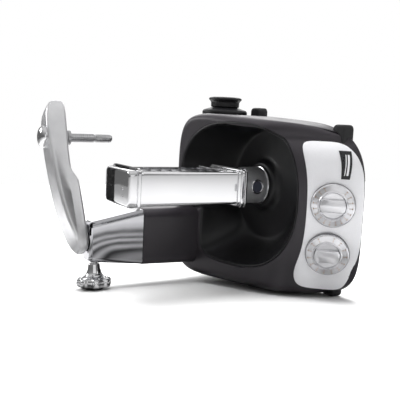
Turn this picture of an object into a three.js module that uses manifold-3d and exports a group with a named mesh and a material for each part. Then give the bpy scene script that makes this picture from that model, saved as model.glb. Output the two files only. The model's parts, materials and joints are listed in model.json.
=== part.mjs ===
// Kitchen machine lying on its side with a noodle cutter on its drive. Millimetres, +Z up.
// Everything on the machine is drawn in its own lying frame: x = -height above the underside,
// y = towards the machine's back, z = towards its right side. The whole is then rolled about X
// on to the feet it rests on.
import * as THREE from "three";
import * as BufferGeometryUtils from "three/addons/utils/BufferGeometryUtils.js";
import Module from "manifold-3d";

const wasm = await Module();
wasm.setup();

// ---- driving sizes ----
const GAP = 0.3; // clearance between parts that touch
const ROLL = THREE.MathUtils.degToRad(5.5); // roll of the machine on to its side feet
const BODY_LENGTH = 342; // front to back
const BODY_HALF_WIDTH = 130.5; // at the middle of the length
const BODY_TAPER = 0.045; // extra half width per mm towards the back
const WALL = 3; // housing wall
const EDGE_ROUND = 14; // round along the housing's upper edge
const FRONT_LIP = 4; // height of the housing at its front edge
const FRONT_SLOPE = 1.14; // rise of the slanted front
const TOP_START = 64.5; // height of the upper face carried on to the front edge
const TOP_SLOPE = 0.225; // rise of the upper face towards the back
const FRONT_BOW = 30; // how far the slanted front bends back at its ends
const LEFT_BOW = 16; // most that its left end bends back
const REAR_LEAN = 24; // how far the back leans forward, 130 above the underside
const DRIVE_Y = 178; // drive axis from the front
const DRIVE_Z = 25; // drive axis to the right of the middle
const WELL_FLOOR_H = 45; // height of the well's floor
const WELL_FLOOR_R = 84;
const WELL_HUB_R = 36;
const WELL_HUB_H = 56; // height of the hub in the middle of the well
const WELL_RIM_Y = 182; // middle of the well's rim
const WELL_RIM_Z = 11;
const WELL_RIM_HALF_Y = 121;
const WELL_RIM_HALF_Z = 111;
const LINER = 2.5; // thickness of the well liner
const COLUMN_Y = 281.4; // arm column axis
const COLUMN_Z = -72.3;
const PEDESTAL_TOP = 218; // height of the housing's pedestal
const COLUMN_TOP = 304.5; // height of the column cover's top
const ARM_REACH = 181; // column axis to the arm's spindle
const ARM_LENGTH = 246; // column axis to the arm's tip
const ARM_LEAN = Math.atan2(156.5, 93.3); // direction of the arm from +Y towards +Z
const FRONT_FOOT_Y = 50; // middle of the front corner feet
const REAR_FOOT_Y = 265;
const FRONT_FOOT_OUT = 0.945; // how far the front corner feet stand out past the sides
const REAR_FOOT_OUT = 12.27;
const DIAL_R = 30.5;
const CUTTER_START = 110; // height of the cutter's right ring
const CUTTER_END = 299.5; // height of the cutter's outer cap face
const CUTTER_HALF_Y = 46; // half depth of the cutter's rings
const CUTTER_HALF_Z = 28; // half height of the cutter's rings
const ADAPTER_R = 28.5;
const ADAPTER_START = WELL_HUB_H + 1;
const ROLLER_OFFSET = 14.5; // each roller's axis from the drive axis
const STAR_HEIGHT = 292; // height of the lock screw along the column
const halfWidthAt = (y) => BODY_HALF_WIDTH + BODY_TAPER * (y - BODY_LENGTH / 2);
const frontReach = halfWidthAt(FRONT_FOOT_Y) + FRONT_FOOT_OUT;
const rearReach = halfWidthAt(REAR_FOOT_Y) + REAR_FOOT_OUT;
const FOOT_LENGTH = 26;
const FOOT_CORNER = 6;
// The machine lies on the front corner of its rear left foot and on the lock knob's pad.
const LIFT = (rearReach - FOOT_CORNER) * Math.cos(ROLL) + FOOT_CORNER
  - (REAR_FOOT_Y - FOOT_LENGTH / 2 + FOOT_CORNER) * Math.sin(ROLL);

// ---- materials ----
const material = (name, colour, roughness, metalness) => {
  const m = new THREE.MeshStandardMaterial({ color: colour, roughness, metalness });
  m.name = name;
  return m;
};
const CHARCOAL = material("charcoal_paint", 0x2b2a2d, 0.42, 0.5);
const BLACK = material("black_plastic", 0x141314, 0.45, 0);
const SILVER = material("silver_paint", 0xc4c5c8, 0.35, 0.4);
const CHROME = material("chrome", 0xd8d9db, 0.08, 1);
const CAST = material("cast_aluminium", 0xb9babd, 0.35, 1);
const SATIN = material("satin_metal", 0x9b9da1, 0.4, 0.9);
const STEEL = material("steel", 0xa5a6a8, 0.3, 1);
const CLEAR = material("dial_plastic", 0xd3d4d6, 0.15, 0.2);
const RUBBER = material("rubber", 0x191919, 0.85, 0);
const BRASS = material("brass", 0xb08d4f, 0.3, 1);
const BOARD = material("circuit_board", 0x1f4a2c, 0.6, 0);
const COPPER = material("copper_winding", 0x9a5a34, 0.4, 0.8);

// ---- solids ----
const toSolid = (geometry) => {
  const bare = new THREE.BufferGeometry();
  bare.setAttribute("position", geometry.getAttribute("position").clone());
  if (geometry.index) bare.setIndex(geometry.index.clone());
  const merged = BufferGeometryUtils.mergeVertices(bare, 1e-4);
  const points = merged.getAttribute("position").array;
  const index = merged.index.array;
  const kept = [];
  for (let i = 0; i < index.length; i += 3) {
    const [a, b, c] = [index[i], index[i + 1], index[i + 2]];
    if (a !== b && b !== c && c !== a) kept.push(a, b, c);
  }
  let volume = 0;
  const corner = (i) => new THREE.Vector3(points[3 * i], points[3 * i + 1], points[3 * i + 2]);
  for (let i = 0; i < kept.length; i += 3) {
    volume += corner(kept[i]).dot(corner(kept[i + 1]).cross(corner(kept[i + 2])));
  }
  if (volume < 0) {
    for (let i = 0; i < kept.length; i += 3) [kept[i], kept[i + 1]] = [kept[i + 1], kept[i]];
  }
  return new wasm.Manifold(new wasm.Mesh({
    numProp: 3,
    vertProperties: new Float32Array(points),
    triVerts: new Uint32Array(kept),
  }));
};

const fromSolid = (solid) => {
  const mesh = solid.getMesh();
  const geometry = new THREE.BufferGeometry();
  const stride = mesh.numProp;
  const points = new Float32Array((mesh.vertProperties.length / stride) * 3);
  for (let i = 0; i < points.length / 3; i++) {
    for (let k = 0; k < 3; k++) points[3 * i + k] = mesh.vertProperties[stride * i + k];
  }
  geometry.setAttribute("position", new THREE.BufferAttribute(points, 3));
  geometry.setIndex(new THREE.BufferAttribute(new Uint32Array(mesh.triVerts), 1));
  return geometry;
};

const union = (...solids) => solids.reduce((a, b) => a.add(b));
const without = (solid, ...cuts) => cuts.reduce((a, b) => a.subtract(b), solid);

// A skin stretched over rings of points; each ring has as many points as the first.
const loft = (rings, closed = false) => {
  const count = rings[0].length;
  const points = rings.flat(2);
  const index = [];
  const last = closed ? rings.length : rings.length - 1;
  for (let r = 0; r < last; r++) {
    const next = (r + 1) % rings.length;
    for (let i = 0; i < count; i++) {
      const j = (i + 1) % count;
      index.push(r * count + i, r * count + j, next * count + j);
      index.push(r * count + i, next * count + j, next * count + i);
    }
  }
  if (!closed) {
    for (const [r, flip] of [[0, true], [rings.length - 1, false]]) {
      const middle = [0, 0, 0];
      for (const p of rings[r]) p.forEach((v, k) => { middle[k] += v / count; });
      points.push(...middle);
      const m = points.length / 3 - 1;
      for (let i = 0; i < count; i++) {
        const j = (i + 1) % count;
        if (flip) index.push(m, r * count + j, r * count + i);
        else index.push(m, r * count + i, r * count + j);
      }
    }
  }
  const geometry = new THREE.BufferGeometry();
  geometry.setAttribute("position", new THREE.BufferAttribute(new Float32Array(points), 3));
  geometry.setIndex(index);
  return toSolid(geometry);
};

const box = (x0, x1, y0, y1, z0, z1) => {
  const geometry = new THREE.BoxGeometry(Math.abs(x1 - x0), y1 - y0, z1 - z0);
  geometry.translate((x0 + x1) / 2, (y0 + y1) / 2, (z0 + z1) / 2);
  return toSolid(geometry);
};

// A solid turned about the line from `at` along `axis`; profile is [radius, distance] pairs.
const turned = (profile, at, axis, segments = 24) => {
  const closedLoop = profile[0][0] > 0;
  const line = profile.map(([r, h]) => new THREE.Vector2(r, h));
  if (closedLoop) line.push(line[0].clone());
  const geometry = new THREE.LatheGeometry(line, segments);
  const turn = new THREE.Quaternion().setFromUnitVectors(
    new THREE.Vector3(0, 1, 0), new THREE.Vector3(...axis).normalize());
  geometry.applyQuaternion(turn);
  geometry.translate(...at);
  return toSolid(geometry);
};
const rod = (r, from, to, y, z, segments = 24) =>
  turned([[0, from], [r, from], [r, to], [0, to]], [0, y, z], [-1, 0, 0], segments);
const tube = (rIn, rOut, from, to, y, z, segments = 24) =>
  turned([[rIn, from], [rOut, from], [rOut, to], [rIn, to]], [0, y, z], [-1, 0, 0], segments);

// A prism along x from a closed [y, z] outline, between two heights.
const prism = (outline, from, to) => {
  const shape = new THREE.Shape(outline.map(([y, z]) => new THREE.Vector2(y, z)));
  const geometry = new THREE.ExtrudeGeometry(shape, { depth: to - from, bevelEnabled: false });
  // shape x, y, depth become frame y, z, -x
  geometry.applyMatrix4(new THREE.Matrix4().set(
    0, 0, -1, -from, 1, 0, 0, 0, 0, 1, 0, 0, 0, 0, 0, 1));
  return toSolid(geometry);
};

// Points of a rounded rectangle about (y, z).
const roundedRect = (y, z, halfY, halfZ, r, steps = 4) => {
  const out = [];
  for (const [sy, sz, start] of [[1, 1, 0], [-1, 1, 90], [-1, -1, 180], [1, -1, 270]]) {
    for (let i = 0; i <= steps; i++) {
      const a = THREE.MathUtils.degToRad(start + (90 * i) / steps);
      out.push([y + sy * (halfY - r) + r * Math.cos(a), z + sz * (halfZ - r) + r * Math.sin(a)]);
    }
  }
  return out;
};

const group = new THREE.Group();
const settle = new THREE.Matrix4().makeRotationX(ROLL).setPosition(0, 0, LIFT);
const add = (name, solid, mat, rolled = true) => {
  const geometry = fromSolid(solid);
  if (rolled) geometry.applyMatrix4(settle);
  geometry.computeVertexNormals();
  const mesh = new THREE.Mesh(geometry, mat);
  mesh.name = name;
  group.add(mesh);
};

// ---- housing form ----
const power = (v, p) => Math.sign(v) * Math.abs(v) ** p;
const bodyPoint = (a) => {
  const n = Math.cos(a) < 0 && Math.sin(a) > 0 ? 3.6 : 5;
  const y = (BODY_LENGTH / 2) * (1 + power(Math.cos(a), 2 / n));
  return [y, halfWidthAt(y) * power(Math.sin(a), 2 / n)];
};
// The same outline walked in even steps.
const evenOutline = (point, count) => {
  const fine = Array.from({ length: 1440 }, (_, i) => point((i / 1440) * 2 * Math.PI));
  const run = [0];
  fine.forEach((p, i) => {
    const q = fine[(i + 1) % fine.length];
    run.push(run[i] + Math.hypot(q[0] - p[0], q[1] - p[1]));
  });
  const total = run[fine.length];
  let k = 0;
  return Array.from({ length: count }, (_, i) => {
    while (run[k + 1] < (total * i) / count) k++;
    return fine[k];
  });
};
const frontBow = (z) => {
  const bow = FRONT_BOW * (Math.abs(z) / 99) ** 4;
  return z < 0 ? LEFT_BOW * Math.tanh(bow / LEFT_BOW) : Math.min(bow, FRONT_BOW * 1.15);
};
const topHeight = (y, z) => {
  const front = FRONT_LIP + FRONT_SLOPE * (y - frontBow(z));
  const upper = TOP_START + TOP_SLOPE * y;
  const d = (front - upper) / 8;
  return front - 8 * Math.log(1 + Math.exp(d));
};
const BODY_MIDDLE_Y = BODY_LENGTH / 2;
const rearLean = (y, h) => REAR_LEAN * (Math.max(y - BODY_MIDDLE_Y, 0) / BODY_MIDDLE_Y) ** 2
  * (Math.max(h, 0) / 130) ** 2;
const BODY_COUNT = 60; // points round the outer form
const INNER_COUNT = 40;
const FORM_STEPS = [0.9, 0.72, 0.5, 0.2];
// The body's outer form, shrunk by `inset` all round and cut off `floor` above the underside.
const bodyForm = (inset, floor, count, inner) => {
  const outline = evenOutline(bodyPoint, count);
  const shrink = ([y, z], d) => {
    const far = Math.hypot(y - BODY_MIDDLE_Y, z);
    const s = 1 - d / far;
    return [BODY_MIDDLE_Y + (y - BODY_MIDDLE_Y) * s, z * s];
  };
  const rings = [];
  const bottom = inset > 0 ? [[0, 0]] : [[1.6, 0], [0, 1.6]];
  for (const [d, h] of bottom) {
    rings.push(outline.map((p) => {
      const q = shrink(p, inset + d);
      return [-(floor + h), q[0], q[1]];
    }));
  }
  const height = (p) => Math.max(topHeight(p[0], p[1]) - inset, floor + (inset > 0 ? 0.6 : 3.6));
  rings.push(outline.map((p) => {
    const q = shrink(p, inset);
    const h = floor + 0.45 * (height(q) - floor);
    return [-h, q[0] - rearLean(q[0], h), q[1]];
  }));
  for (const a of [0, 30, 60, 90].map(THREE.MathUtils.degToRad)) {
    rings.push(outline.map((p) => {
      const edge = shrink(p, inset);
      const r = Math.max(Math.min(EDGE_ROUND, 0.5 * (topHeight(...edge) - 3)) - inset, 0.2);
      const q = shrink(p, inset + r * (1 - Math.cos(a)));
      const drop = r * (1 - Math.sin(a));
      const y = q[0] - rearLean(q[0], height(q) - drop);
      return [-(height([y, q[1]]) - drop), y, q[1]];
    }));
  }
  for (const s of inner) {
    rings.push(outline.map((p) => {
      const flat = BODY_MIDDLE_Y + (p[0] - BODY_MIDDLE_Y) * s;
      const z = p[1] * s;
      const y = flat - rearLean(flat, height([flat, z]));
      return [-height([y, z]), y, z];
    }));
  }
  return loft(rings);
};

// ---- well form ----
const pedestalSpan = { y0: COLUMN_Y - 27, y1: COLUMN_Y + 30, z0: COLUMN_Z - 43, z1: COLUMN_Z + 52 };
const insideRim = (y, z) => {
  const v = Math.abs((y - WELL_RIM_Y) / WELL_RIM_HALF_Y) ** 2.6
    + Math.abs((z - WELL_RIM_Z) / WELL_RIM_HALF_Z) ** 2.6;
  const byPedestal = z < pedestalSpan.z1 && y > pedestalSpan.y0 - 6;
  return v < 1 && !byPedestal;
};
const WELL_COUNT = 48;
const rimRadius = Array.from({ length: WELL_COUNT }, (_, i) => {
  const a = (i / WELL_COUNT) * 2 * Math.PI;
  let r = WELL_FLOOR_R + 1;
  while (insideRim(DRIVE_Y + r * Math.cos(a), DRIVE_Z + r * Math.sin(a))) r += 0.5;
  return r;
});
const softRim = rimRadius.map((r, i) => {
  const n = rimRadius.length;
  const at = (k) => rimRadius[(i + k + n) % n];
  return Math.min(r, (at(-1) + 2 * r + at(1)) / 4);
});
const wellRing = (t, out, height) => softRim.map((rim, i) => {
  const a = (i / WELL_COUNT) * 2 * Math.PI;
  const r = t <= 1 ? WELL_FLOOR_R + (rim - WELL_FLOOR_R) * t + out : rim + out;
  const y = DRIVE_Y + r * Math.cos(a);
  const z = DRIVE_Z + r * Math.sin(a);
  const top = topHeight(DRIVE_Y + rim * Math.cos(a), DRIVE_Z + rim * Math.sin(a));
  return [-height(top), y, z];
});
const circleRing = (r, h) => Array.from({ length: WELL_COUNT }, (_, i) => {
  const a = (i / WELL_COUNT) * 2 * Math.PI;
  return [-h, DRIVE_Y + r * Math.cos(a), DRIVE_Z + r * Math.sin(a)];
});
const climb = (t, top) => WELL_FLOOR_H + (top - WELL_FLOOR_H) * t ** 1.5;
const wellCut = loft([
  wellRing(1, GAP, () => 20),
  wellRing(1, GAP, () => 180),
]);

// ---- pedestal and column forms ----
const pedestalRing = (h, grow) => {
  const t = (PEDESTAL_TOP - h) / 100;
  const y0 = pedestalSpan.y0 + 2 - 3 * t;
  const y1 = pedestalSpan.y1 - 3 + 3 * t;
  const z0 = pedestalSpan.z0 + 2 - 2 * t;
  const z1 = pedestalSpan.z1 - 1.5 + t;
  return roundedRect((y0 + y1) / 2, (z0 + z1) / 2, (y1 - y0) / 2 + grow, (z1 - z0) / 2 + grow,
    16 + grow).map(([y, z]) => [-h, y, z]);
};
const pedestal = loft([
  pedestalRing(95, 0), pedestalRing(PEDESTAL_TOP - 3, 0), pedestalRing(PEDESTAL_TOP, -2.5)]);
const pedestalHollow = loft([pedestalRing(80, -WALL), pedestalRing(PEDESTAL_TOP - 5, -WALL)]);

const POST_R = 12;
const INLET_AT = [-28, 0, -40];
const outletAt = { h: 48, y: 307 };
const outletTop = BODY_HALF_WIDTH + 8; // outer side of the housing at the outlet
const DIAL_TILT = 0.23; // sideways slope of the front at the timer
const dials = {
  speed: { at: [-34.4, 26.2, 13], axis: [-1, -FRONT_SLOPE, 0] },
  timer: { at: [-35, 30.5, -57], axis: [-1, -FRONT_SLOPE, -FRONT_SLOPE * DIAL_TILT] },
};

// ---- housing ----
const shellOuter = union(bodyForm(0, 0, BODY_COUNT, FORM_STEPS), pedestal);
let shell = without(shellOuter, bodyForm(WALL, -20, INNER_COUNT, FORM_STEPS));
shell = without(shell, pedestalHollow, wellCut);
shell = without(shell, rod(POST_R + GAP, 190, 240, COLUMN_Y, COLUMN_Z));
for (const d of Object.values(dials)) {
  shell = without(shell, turned([[0, -30], [5, -30], [5, 30], [0, 30]], d.at, d.axis, 16));
}
shell = without(shell, turned([[0, 90], [22, 90], [22, 170], [0, 170]],
  [-outletAt.h, outletAt.y, 0], [0, 0, 1]));
shell = without(shell, turned([[0, BODY_LENGTH - 42], [9, BODY_LENGTH - 42],
  [9, BODY_LENGTH + 18], [0, BODY_LENGTH + 18]], INLET_AT, [0, 1, 0], 16));

// ---- well liner: one moulded bowl with a raised hub ----
add("well_liner", loft([
  wellRing(1, -GAP, (top) => top + 0.4),
  wellRing(1, -3.5, (top) => top - 0.6),
  wellRing(0.82, 0, (top) => climb(0.82, top)),
  wellRing(0.55, 0, (top) => climb(0.55, top)),
  wellRing(0.25, 0, (top) => climb(0.25, top)),
  wellRing(0.05, 0, (top) => climb(0.05, top)),
  circleRing(WELL_FLOOR_R - 8, WELL_FLOOR_H),
  circleRing(WELL_HUB_R + 10, WELL_FLOOR_H),
  circleRing(WELL_HUB_R + 3, WELL_FLOOR_H + 3),
  circleRing(WELL_HUB_R, WELL_HUB_H - 3),
  circleRing(WELL_HUB_R - 3, WELL_HUB_H),
  circleRing(14, WELL_HUB_H),
  circleRing(14, WELL_HUB_H - LINER),
  circleRing(WELL_HUB_R - 4, WELL_HUB_H - LINER),
  circleRing(WELL_HUB_R - 3, WELL_FLOOR_H - LINER),
  circleRing(WELL_FLOOR_R - 8, WELL_FLOOR_H - LINER),
  wellRing(0.05, LINER, (top) => climb(0.05, top) - 2),
  wellRing(0.25, LINER, (top) => climb(0.25, top) - 2),
  wellRing(0.55, LINER, (top) => climb(0.55, top) - 2),
  wellRing(0.82, 1.5, (top) => climb(0.82, top) - 3),
  wellRing(1, -1, (top) => top - 6),
  wellRing(1, -GAP, (top) => top - 4),
], true), BLACK);

// ---- base plate and corner feet ----
const footSpots = [
  ["foot_front_right", FRONT_FOOT_Y, 1, frontReach], ["foot_front_left", FRONT_FOOT_Y, -1, frontReach],
  ["foot_rear_right", REAR_FOOT_Y, 1, rearReach], ["foot_rear_left", REAR_FOOT_Y, -1, rearReach],
];
const footForm = (y, side, reach) => {
  const half = FOOT_LENGTH / 2;
  const ring = (h, grow) => roundedRect(y, side * (reach - 17), half + grow, 17 + grow,
    FOOT_CORNER, 3)
    .map(([a, b]) => [-h, a, b]);
  return loft([ring(-5, -1.5), ring(-3.5, 0), ring(11, 0), ring(14, -2.5)]);
};
const base = bodyForm(WALL + GAP, -20, INNER_COUNT, FORM_STEPS)
  .intersect(box(-3.5, -0.5, -10, 360, -160, 160));
const solidBody = bodyForm(0, 0, BODY_COUNT, FORM_STEPS);
for (const [name, y, side, reach] of footSpots) {
  const foot = footForm(y, side, reach);
  const end = y < BODY_MIDDLE_Y ? -1 : 1;
  add(name, without(foot, solidBody.translate([GAP, 0, 0]), solidBody.translate([GAP / 3, 0, side * GAP]),
    solidBody.translate([GAP / 3, end * GAP, 0])), RUBBER);
}
add("base_plate", base, BLACK);

// ---- control panel on the slanted front ----
const PANEL_T = 2.2;
const PANEL_LOW = -1.2; // panel's lower edge, just round the housing's front edge
const PANEL_Z0 = -112;
const PANEL_Z1 = 100;
const panelPoint = (z, s, lift) => {
  const y = frontBow(z) + s;
  const slope = (topHeight(y + 0.5, z) - topHeight(y - 0.5, z));
  const side = (topHeight(y, z + 0.5) - topHeight(y, z - 0.5));
  const normal = new THREE.Vector3(-1, -slope, -side).normalize();
  return [-topHeight(y, z) + normal.x * lift, y + normal.y * lift, z + normal.z * lift];
};
const panelRing = (t, low0, high0, grow) => {
  const middle = (PANEL_Z0 + PANEL_Z1) / 2;
  const half = (PANEL_Z1 - PANEL_Z0) / 2;
  const z = middle + half * t;
  const waist = 51 + 5 * ((z - 5) / 100) ** 2;
  const fill = (1 - Math.abs(t) ** 5) ** (1 / 5);
  const low = PANEL_LOW + 27 * (1 - fill) - grow;
  const high = PANEL_LOW + 27 * (1 - fill) + (waist - PANEL_LOW) * fill + grow;
  const steps = [0, 0.25, 0.5, 0.75, 1];
  const side = z + grow * Math.sign(t) * (Math.abs(t) > 0.9 ? 1 : 0);
  const outer = steps.map((k) => panelPoint(side, low + (high - low) * k, high0));
  const inner = steps.map((k) => panelPoint(side, low + (high - low) * k, low0)).reverse();
  return [...outer, ...inner];
};
const panelSteps = [-0.995, -0.97, -0.92, -0.85, -0.74, -0.6, -0.45, -0.3, -0.15, 0];
const panelTs = [...panelSteps, ...panelSteps.slice(0, -1).map((t) => -t).reverse()];
const PANEL_SINK = -0.8; // panel's underside below the housing's surface
const PANEL_TOP = PANEL_SINK + PANEL_T;
shell = without(shell, loft(panelTs.map((t) => panelRing(t, PANEL_SINK - GAP, 12, GAP))));
add("housing_shell", shell, CHARCOAL);
let panel = loft(panelTs.map((t) => panelRing(t, PANEL_SINK, PANEL_TOP, 0)));
for (const d of Object.values(dials)) {
  panel = without(panel, turned([[0, -30], [5, -30], [5, 30], [0, 30]], d.at, d.axis, 16));
}
add("control_panel", panel, SILVER);
const BADGE_Z0 = 50;
const BADGE_Z1 = 88;
const badgeRing = (k) => {
  const z = BADGE_Z0 + (BADGE_Z1 - BADGE_Z0) * k;
  const s0 = 12.3 - 7 * k;
  const s1 = 20.2 - 3.5 * k;
  const low = PANEL_TOP + GAP;
  return [panelPoint(z, s0, low), panelPoint(z, s1, low),
    panelPoint(z, s1, low + 1.2), panelPoint(z, s0, low + 1.2)];
};
add("badge_plate", loft([0, 0.2, 0.4, 0.6, 0.8, 1].map(badgeRing)), CHARCOAL);

// ---- dials: a clear disc with a grip bar between two half-moon hollows ----
const dialFrame = (at, axis) => {
  const out = new THREE.Vector3(...axis).normalize();
  const along = new THREE.Vector3(0, 0, 1).addScaledVector(out, -out.z).normalize();
  const up = new THREE.Vector3().crossVectors(out, along);
  return new THREE.Matrix4().makeBasis(along, up, out).setPosition(...at);
};
const place = (solid, matrix) => {
  const geometry = fromSolid(solid);
  geometry.applyMatrix4(matrix);
  return toSolid(geometry);
};
const DIAL_BASE = PANEL_TOP + GAP + 1.8; // dial's underside above the housing
const dialSolid = (d) => {
  const disc = turned([
    [0, DIAL_BASE], [DIAL_R - 1, DIAL_BASE], [DIAL_R, DIAL_BASE + 1], [DIAL_R, DIAL_BASE + 5],
    [DIAL_R - 2, DIAL_BASE + 7], [20, DIAL_BASE + 8.5], [18.5, DIAL_BASE + 13.5],
    [0, DIAL_BASE + 14.5]], [0, 0, 0], [0, 0, 1], 28);
  const moon = (side) => without(
    turned([[0, DIAL_BASE + 5], [16.5, DIAL_BASE + 5], [17, DIAL_BASE + 20], [0, DIAL_BASE + 20]],
      [0, 0, 0], [0, 0, 1], 24),
    box(side > 0 ? -30 : -8, side > 0 ? 8 : 30, -30, 30, 0, 40));
  const shaft = turned([[0, -14], [4, -14], [4, DIAL_BASE + 1], [0, DIAL_BASE + 1]],
    [0, 0, 0], [0, 0, 1], 16);
  return place(union(without(disc, moon(1), moon(-1)), shaft), dialFrame(d.at, d.axis));
};
add("speed_dial", dialSolid(dials.speed), CLEAR);
add("timer_dial", dialSolid(dials.timer), CLEAR);
const moduleBox = (d, depth, half) => place(
  box(-half, half, -half, half, -14.5 - depth, -14.5), dialFrame(d.at, d.axis));
add("speed_control", moduleBox(dials.speed, 9, 11), BLACK);
add("timer_module", moduleBox(dials.timer, 9, 13), BLACK);

// ---- arm post, column cover, collar ----
const ARM_ROOT_H = COLUMN_TOP + 1.8;
const postTop = ARM_ROOT_H + 14;
add("arm_post", union(rod(POST_R, 150, postTop, COLUMN_Y, COLUMN_Z),
  rod(18, 205, PEDESTAL_TOP - 5 - GAP, COLUMN_Y, COLUMN_Z)), STEEL);
const coverLow = (h) => pedestalSpan.z0 + 4
  + (7 * (h - PEDESTAL_TOP)) / (COLUMN_TOP - PEDESTAL_TOP);
const coverRing = (h, grow) => {
  const t = (h - PEDESTAL_TOP) / (COLUMN_TOP - PEDESTAL_TOP);
  const y0 = pedestalSpan.y0 + 2 + 9 * t;
  const y1 = pedestalSpan.y1 - 4 - 9 * t;
  const z0 = coverLow(h);
  const z1 = pedestalSpan.z1 - 2 - 20 * t;
  return roundedRect((y0 + y1) / 2, (z0 + z1) / 2, (y1 - y0) / 2 + grow, (z1 - z0) / 2 + grow,
    13 + grow).map(([y, z]) => [-h, y, z]);
};
let cover = loft([coverRing(PEDESTAL_TOP + GAP, 0), coverRing(COLUMN_TOP - 3, 0),
  coverRing(COLUMN_TOP, -2.5)]);
cover = without(cover, loft([coverRing(PEDESTAL_TOP - 1, -WALL), coverRing(COLUMN_TOP - 4, -WALL)]));
cover = without(cover, rod(POST_R + GAP, 200, COLUMN_TOP + 15, COLUMN_Y, COLUMN_Z));
add("pivot_collar", turned([[POST_R + GAP, COLUMN_TOP + GAP], [16, COLUMN_TOP + GAP],
  [15, ARM_ROOT_H - GAP], [POST_R + GAP, ARM_ROOT_H - GAP]], [0, COLUMN_Y, COLUMN_Z], [-1, 0, 0]), BLACK);

// ---- star lock knob, upright, with its screw and rubber pad ----
const starAxis = new THREE.Vector3(-STAR_HEIGHT, COLUMN_Y, COLUMN_Z).applyMatrix4(settle);
const upright = (profile, segments = 24) =>
  turned(profile, [starAxis.x, starAxis.y, 0], [0, 0, 1], segments);
// height of the cover's lower side above the floor
const COVER_FLOOR = starAxis.z + (coverLow(STAR_HEIGHT) - COLUMN_Z) * Math.cos(ROLL);
const starTool = toSolid(new THREE.CylinderGeometry(6.3, 6.3, 60, 24).rotateX(Math.PI / 2));
const unroll = settle.clone().invert();
cover = without(cover, place(starTool.translate([starAxis.x, starAxis.y, starAxis.z - 42]), unroll));
add("column_cover", cover, CHROME);
const PAD_T = 3;
const STAR_T = 17;
const lobes = 7;
const starOutline = Array.from({ length: 42 }, (_, i) => {
  const a = (i / 42) * 2 * Math.PI;
  const r = 25.2 + 2.3 * Math.cos(lobes * a);
  return [r * Math.cos(a), r * Math.sin(a)];
});
const starRing = (s, z) => starOutline.map(([x, y]) => [starAxis.x + x * s, starAxis.y + y * s, z]);
const star = union(
  loft([starRing(0.86, PAD_T + GAP), starRing(1, PAD_T + 3), starRing(1, STAR_T - 2),
    starRing(0.9, STAR_T + 1.5)]),
  upright([[0, STAR_T - 4], [22, STAR_T + 1], [15, STAR_T + 4.5], [11.5, STAR_T + 9],
    [9.5, STAR_T + 16], [9, COVER_FLOOR - 3], [0, COVER_FLOOR - 3]]));
add("lock_knob", without(star, upright([[0, PAD_T - 1], [3.2, PAD_T - 1], [3.2, PAD_T + 5],
  [0, PAD_T + 5]], 16)), CHROME, false);
add("lock_screw", upright([[0, COVER_FLOOR - 2.7], [6, COVER_FLOOR - 2.7],
  [6, COVER_FLOOR + 14], [0, COVER_FLOOR + 14]], 20), STEEL, false);
add("foot_pad", upright([[0, 0], [13, 0], [14, 1], [14, PAD_T - 0.5], [13, PAD_T], [2.9, PAD_T],
  [2.9, PAD_T + 4.7], [0, PAD_T + 4.7]]), RUBBER, false);

// ---- arm: one casting, its spindle and round knob ----
const armDir = [Math.cos(ARM_LEAN), Math.sin(ARM_LEAN)];
const ARM_EDGE = 6; // round along the arm's edges
const armSections = [
  // along the arm, lower face and upper face above its root, half width
  [-18, 4, 11.7, 11], [-15, 1, 15.2, 15], [-8, 0, 18.7, 19], [4, 0, 23.2, 22], [32, 0, 30.2, 22.5],
  [62, 0, 34.7, 22.5], [98, 1, 37.2, 22], [116, 10.2, 38.2, 22], [150, 8.7, 39.2, 21.5],
  [192, 5.2, 39.2, 20.5], [216, 3.2, 36.7, 19.5], [232, 2.2, 32.2, 17.5], [241, 1.7, 25.7, 14],
  [ARM_LENGTH, 2.2, 16.7, 9],
];
const armRing = ([along, low, high, half]) => {
  const mid = ARM_ROOT_H + (low + high) / 2;
  const r = Math.min(ARM_EDGE, (high - low) / 2.3);
  return roundedRect(0, 0, half, (high - low) / 2, r, 3).map(([w, u]) => [
    -(mid + u),
    COLUMN_Y + armDir[0] * along + armDir[1] * w,
    COLUMN_Z + armDir[1] * along - armDir[0] * w,
  ]);
};
const spindleY = COLUMN_Y + armDir[0] * ARM_REACH;
const spindleZ = COLUMN_Z + armDir[1] * ARM_REACH;
const armOuterH = ARM_ROOT_H + 38.7;
const armInnerH = ARM_ROOT_H + 7.3; // bottom of the recess for the spindle's collar
let arm = loft(armSections.map(armRing));
arm = without(arm, rod(POST_R + GAP, ARM_ROOT_H - 26, postTop + GAP, COLUMN_Y, COLUMN_Z));
arm = without(arm, rod(7.9, ARM_ROOT_H - 16, ARM_ROOT_H + 54, spindleY, spindleZ));
arm = without(arm, rod(19, armOuterH - 2, armOuterH + 35, spindleY, spindleZ));
arm = without(arm, rod(13.3, ARM_ROOT_H - 16, armInnerH + 0.4, spindleY, spindleZ));
add("arm_casting", arm, CAST);
const SPINDLE_OUT = 83.6; // spindle's length past the arm
const spindleLine = [[0, 0], [4.6, 0.6], [6.8, 3], [7.2, 6], [7.2, 29], [6, 29.4], [6, 32.6],
  [7.6, 33], [7.6, SPINDLE_OUT - 8.6], [12.8, SPINDLE_OUT - 8.2], [12.8, SPINDLE_OUT], [7.6, SPINDLE_OUT]];
add("arm_spindle", turned([
  ...spindleLine.map(([r, h]) => [r, armInnerH - SPINDLE_OUT + h]), [7.6, armOuterH - 2.5],
  [0, armOuterH - 2.5]], [0, spindleY, spindleZ], [-1, 0, 0], 20), STEEL);
add("arm_knob", turned([[0, armOuterH - 1.6], [14, armOuterH - 1.6], [18, armOuterH + 1],
  [18, armOuterH + 5], [16, armOuterH + 8], [11, armOuterH + 10.5], [0, armOuterH + 11.5]],
  [0, spindleY, spindleZ], [-1, 0, 0]), CHROME);

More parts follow.
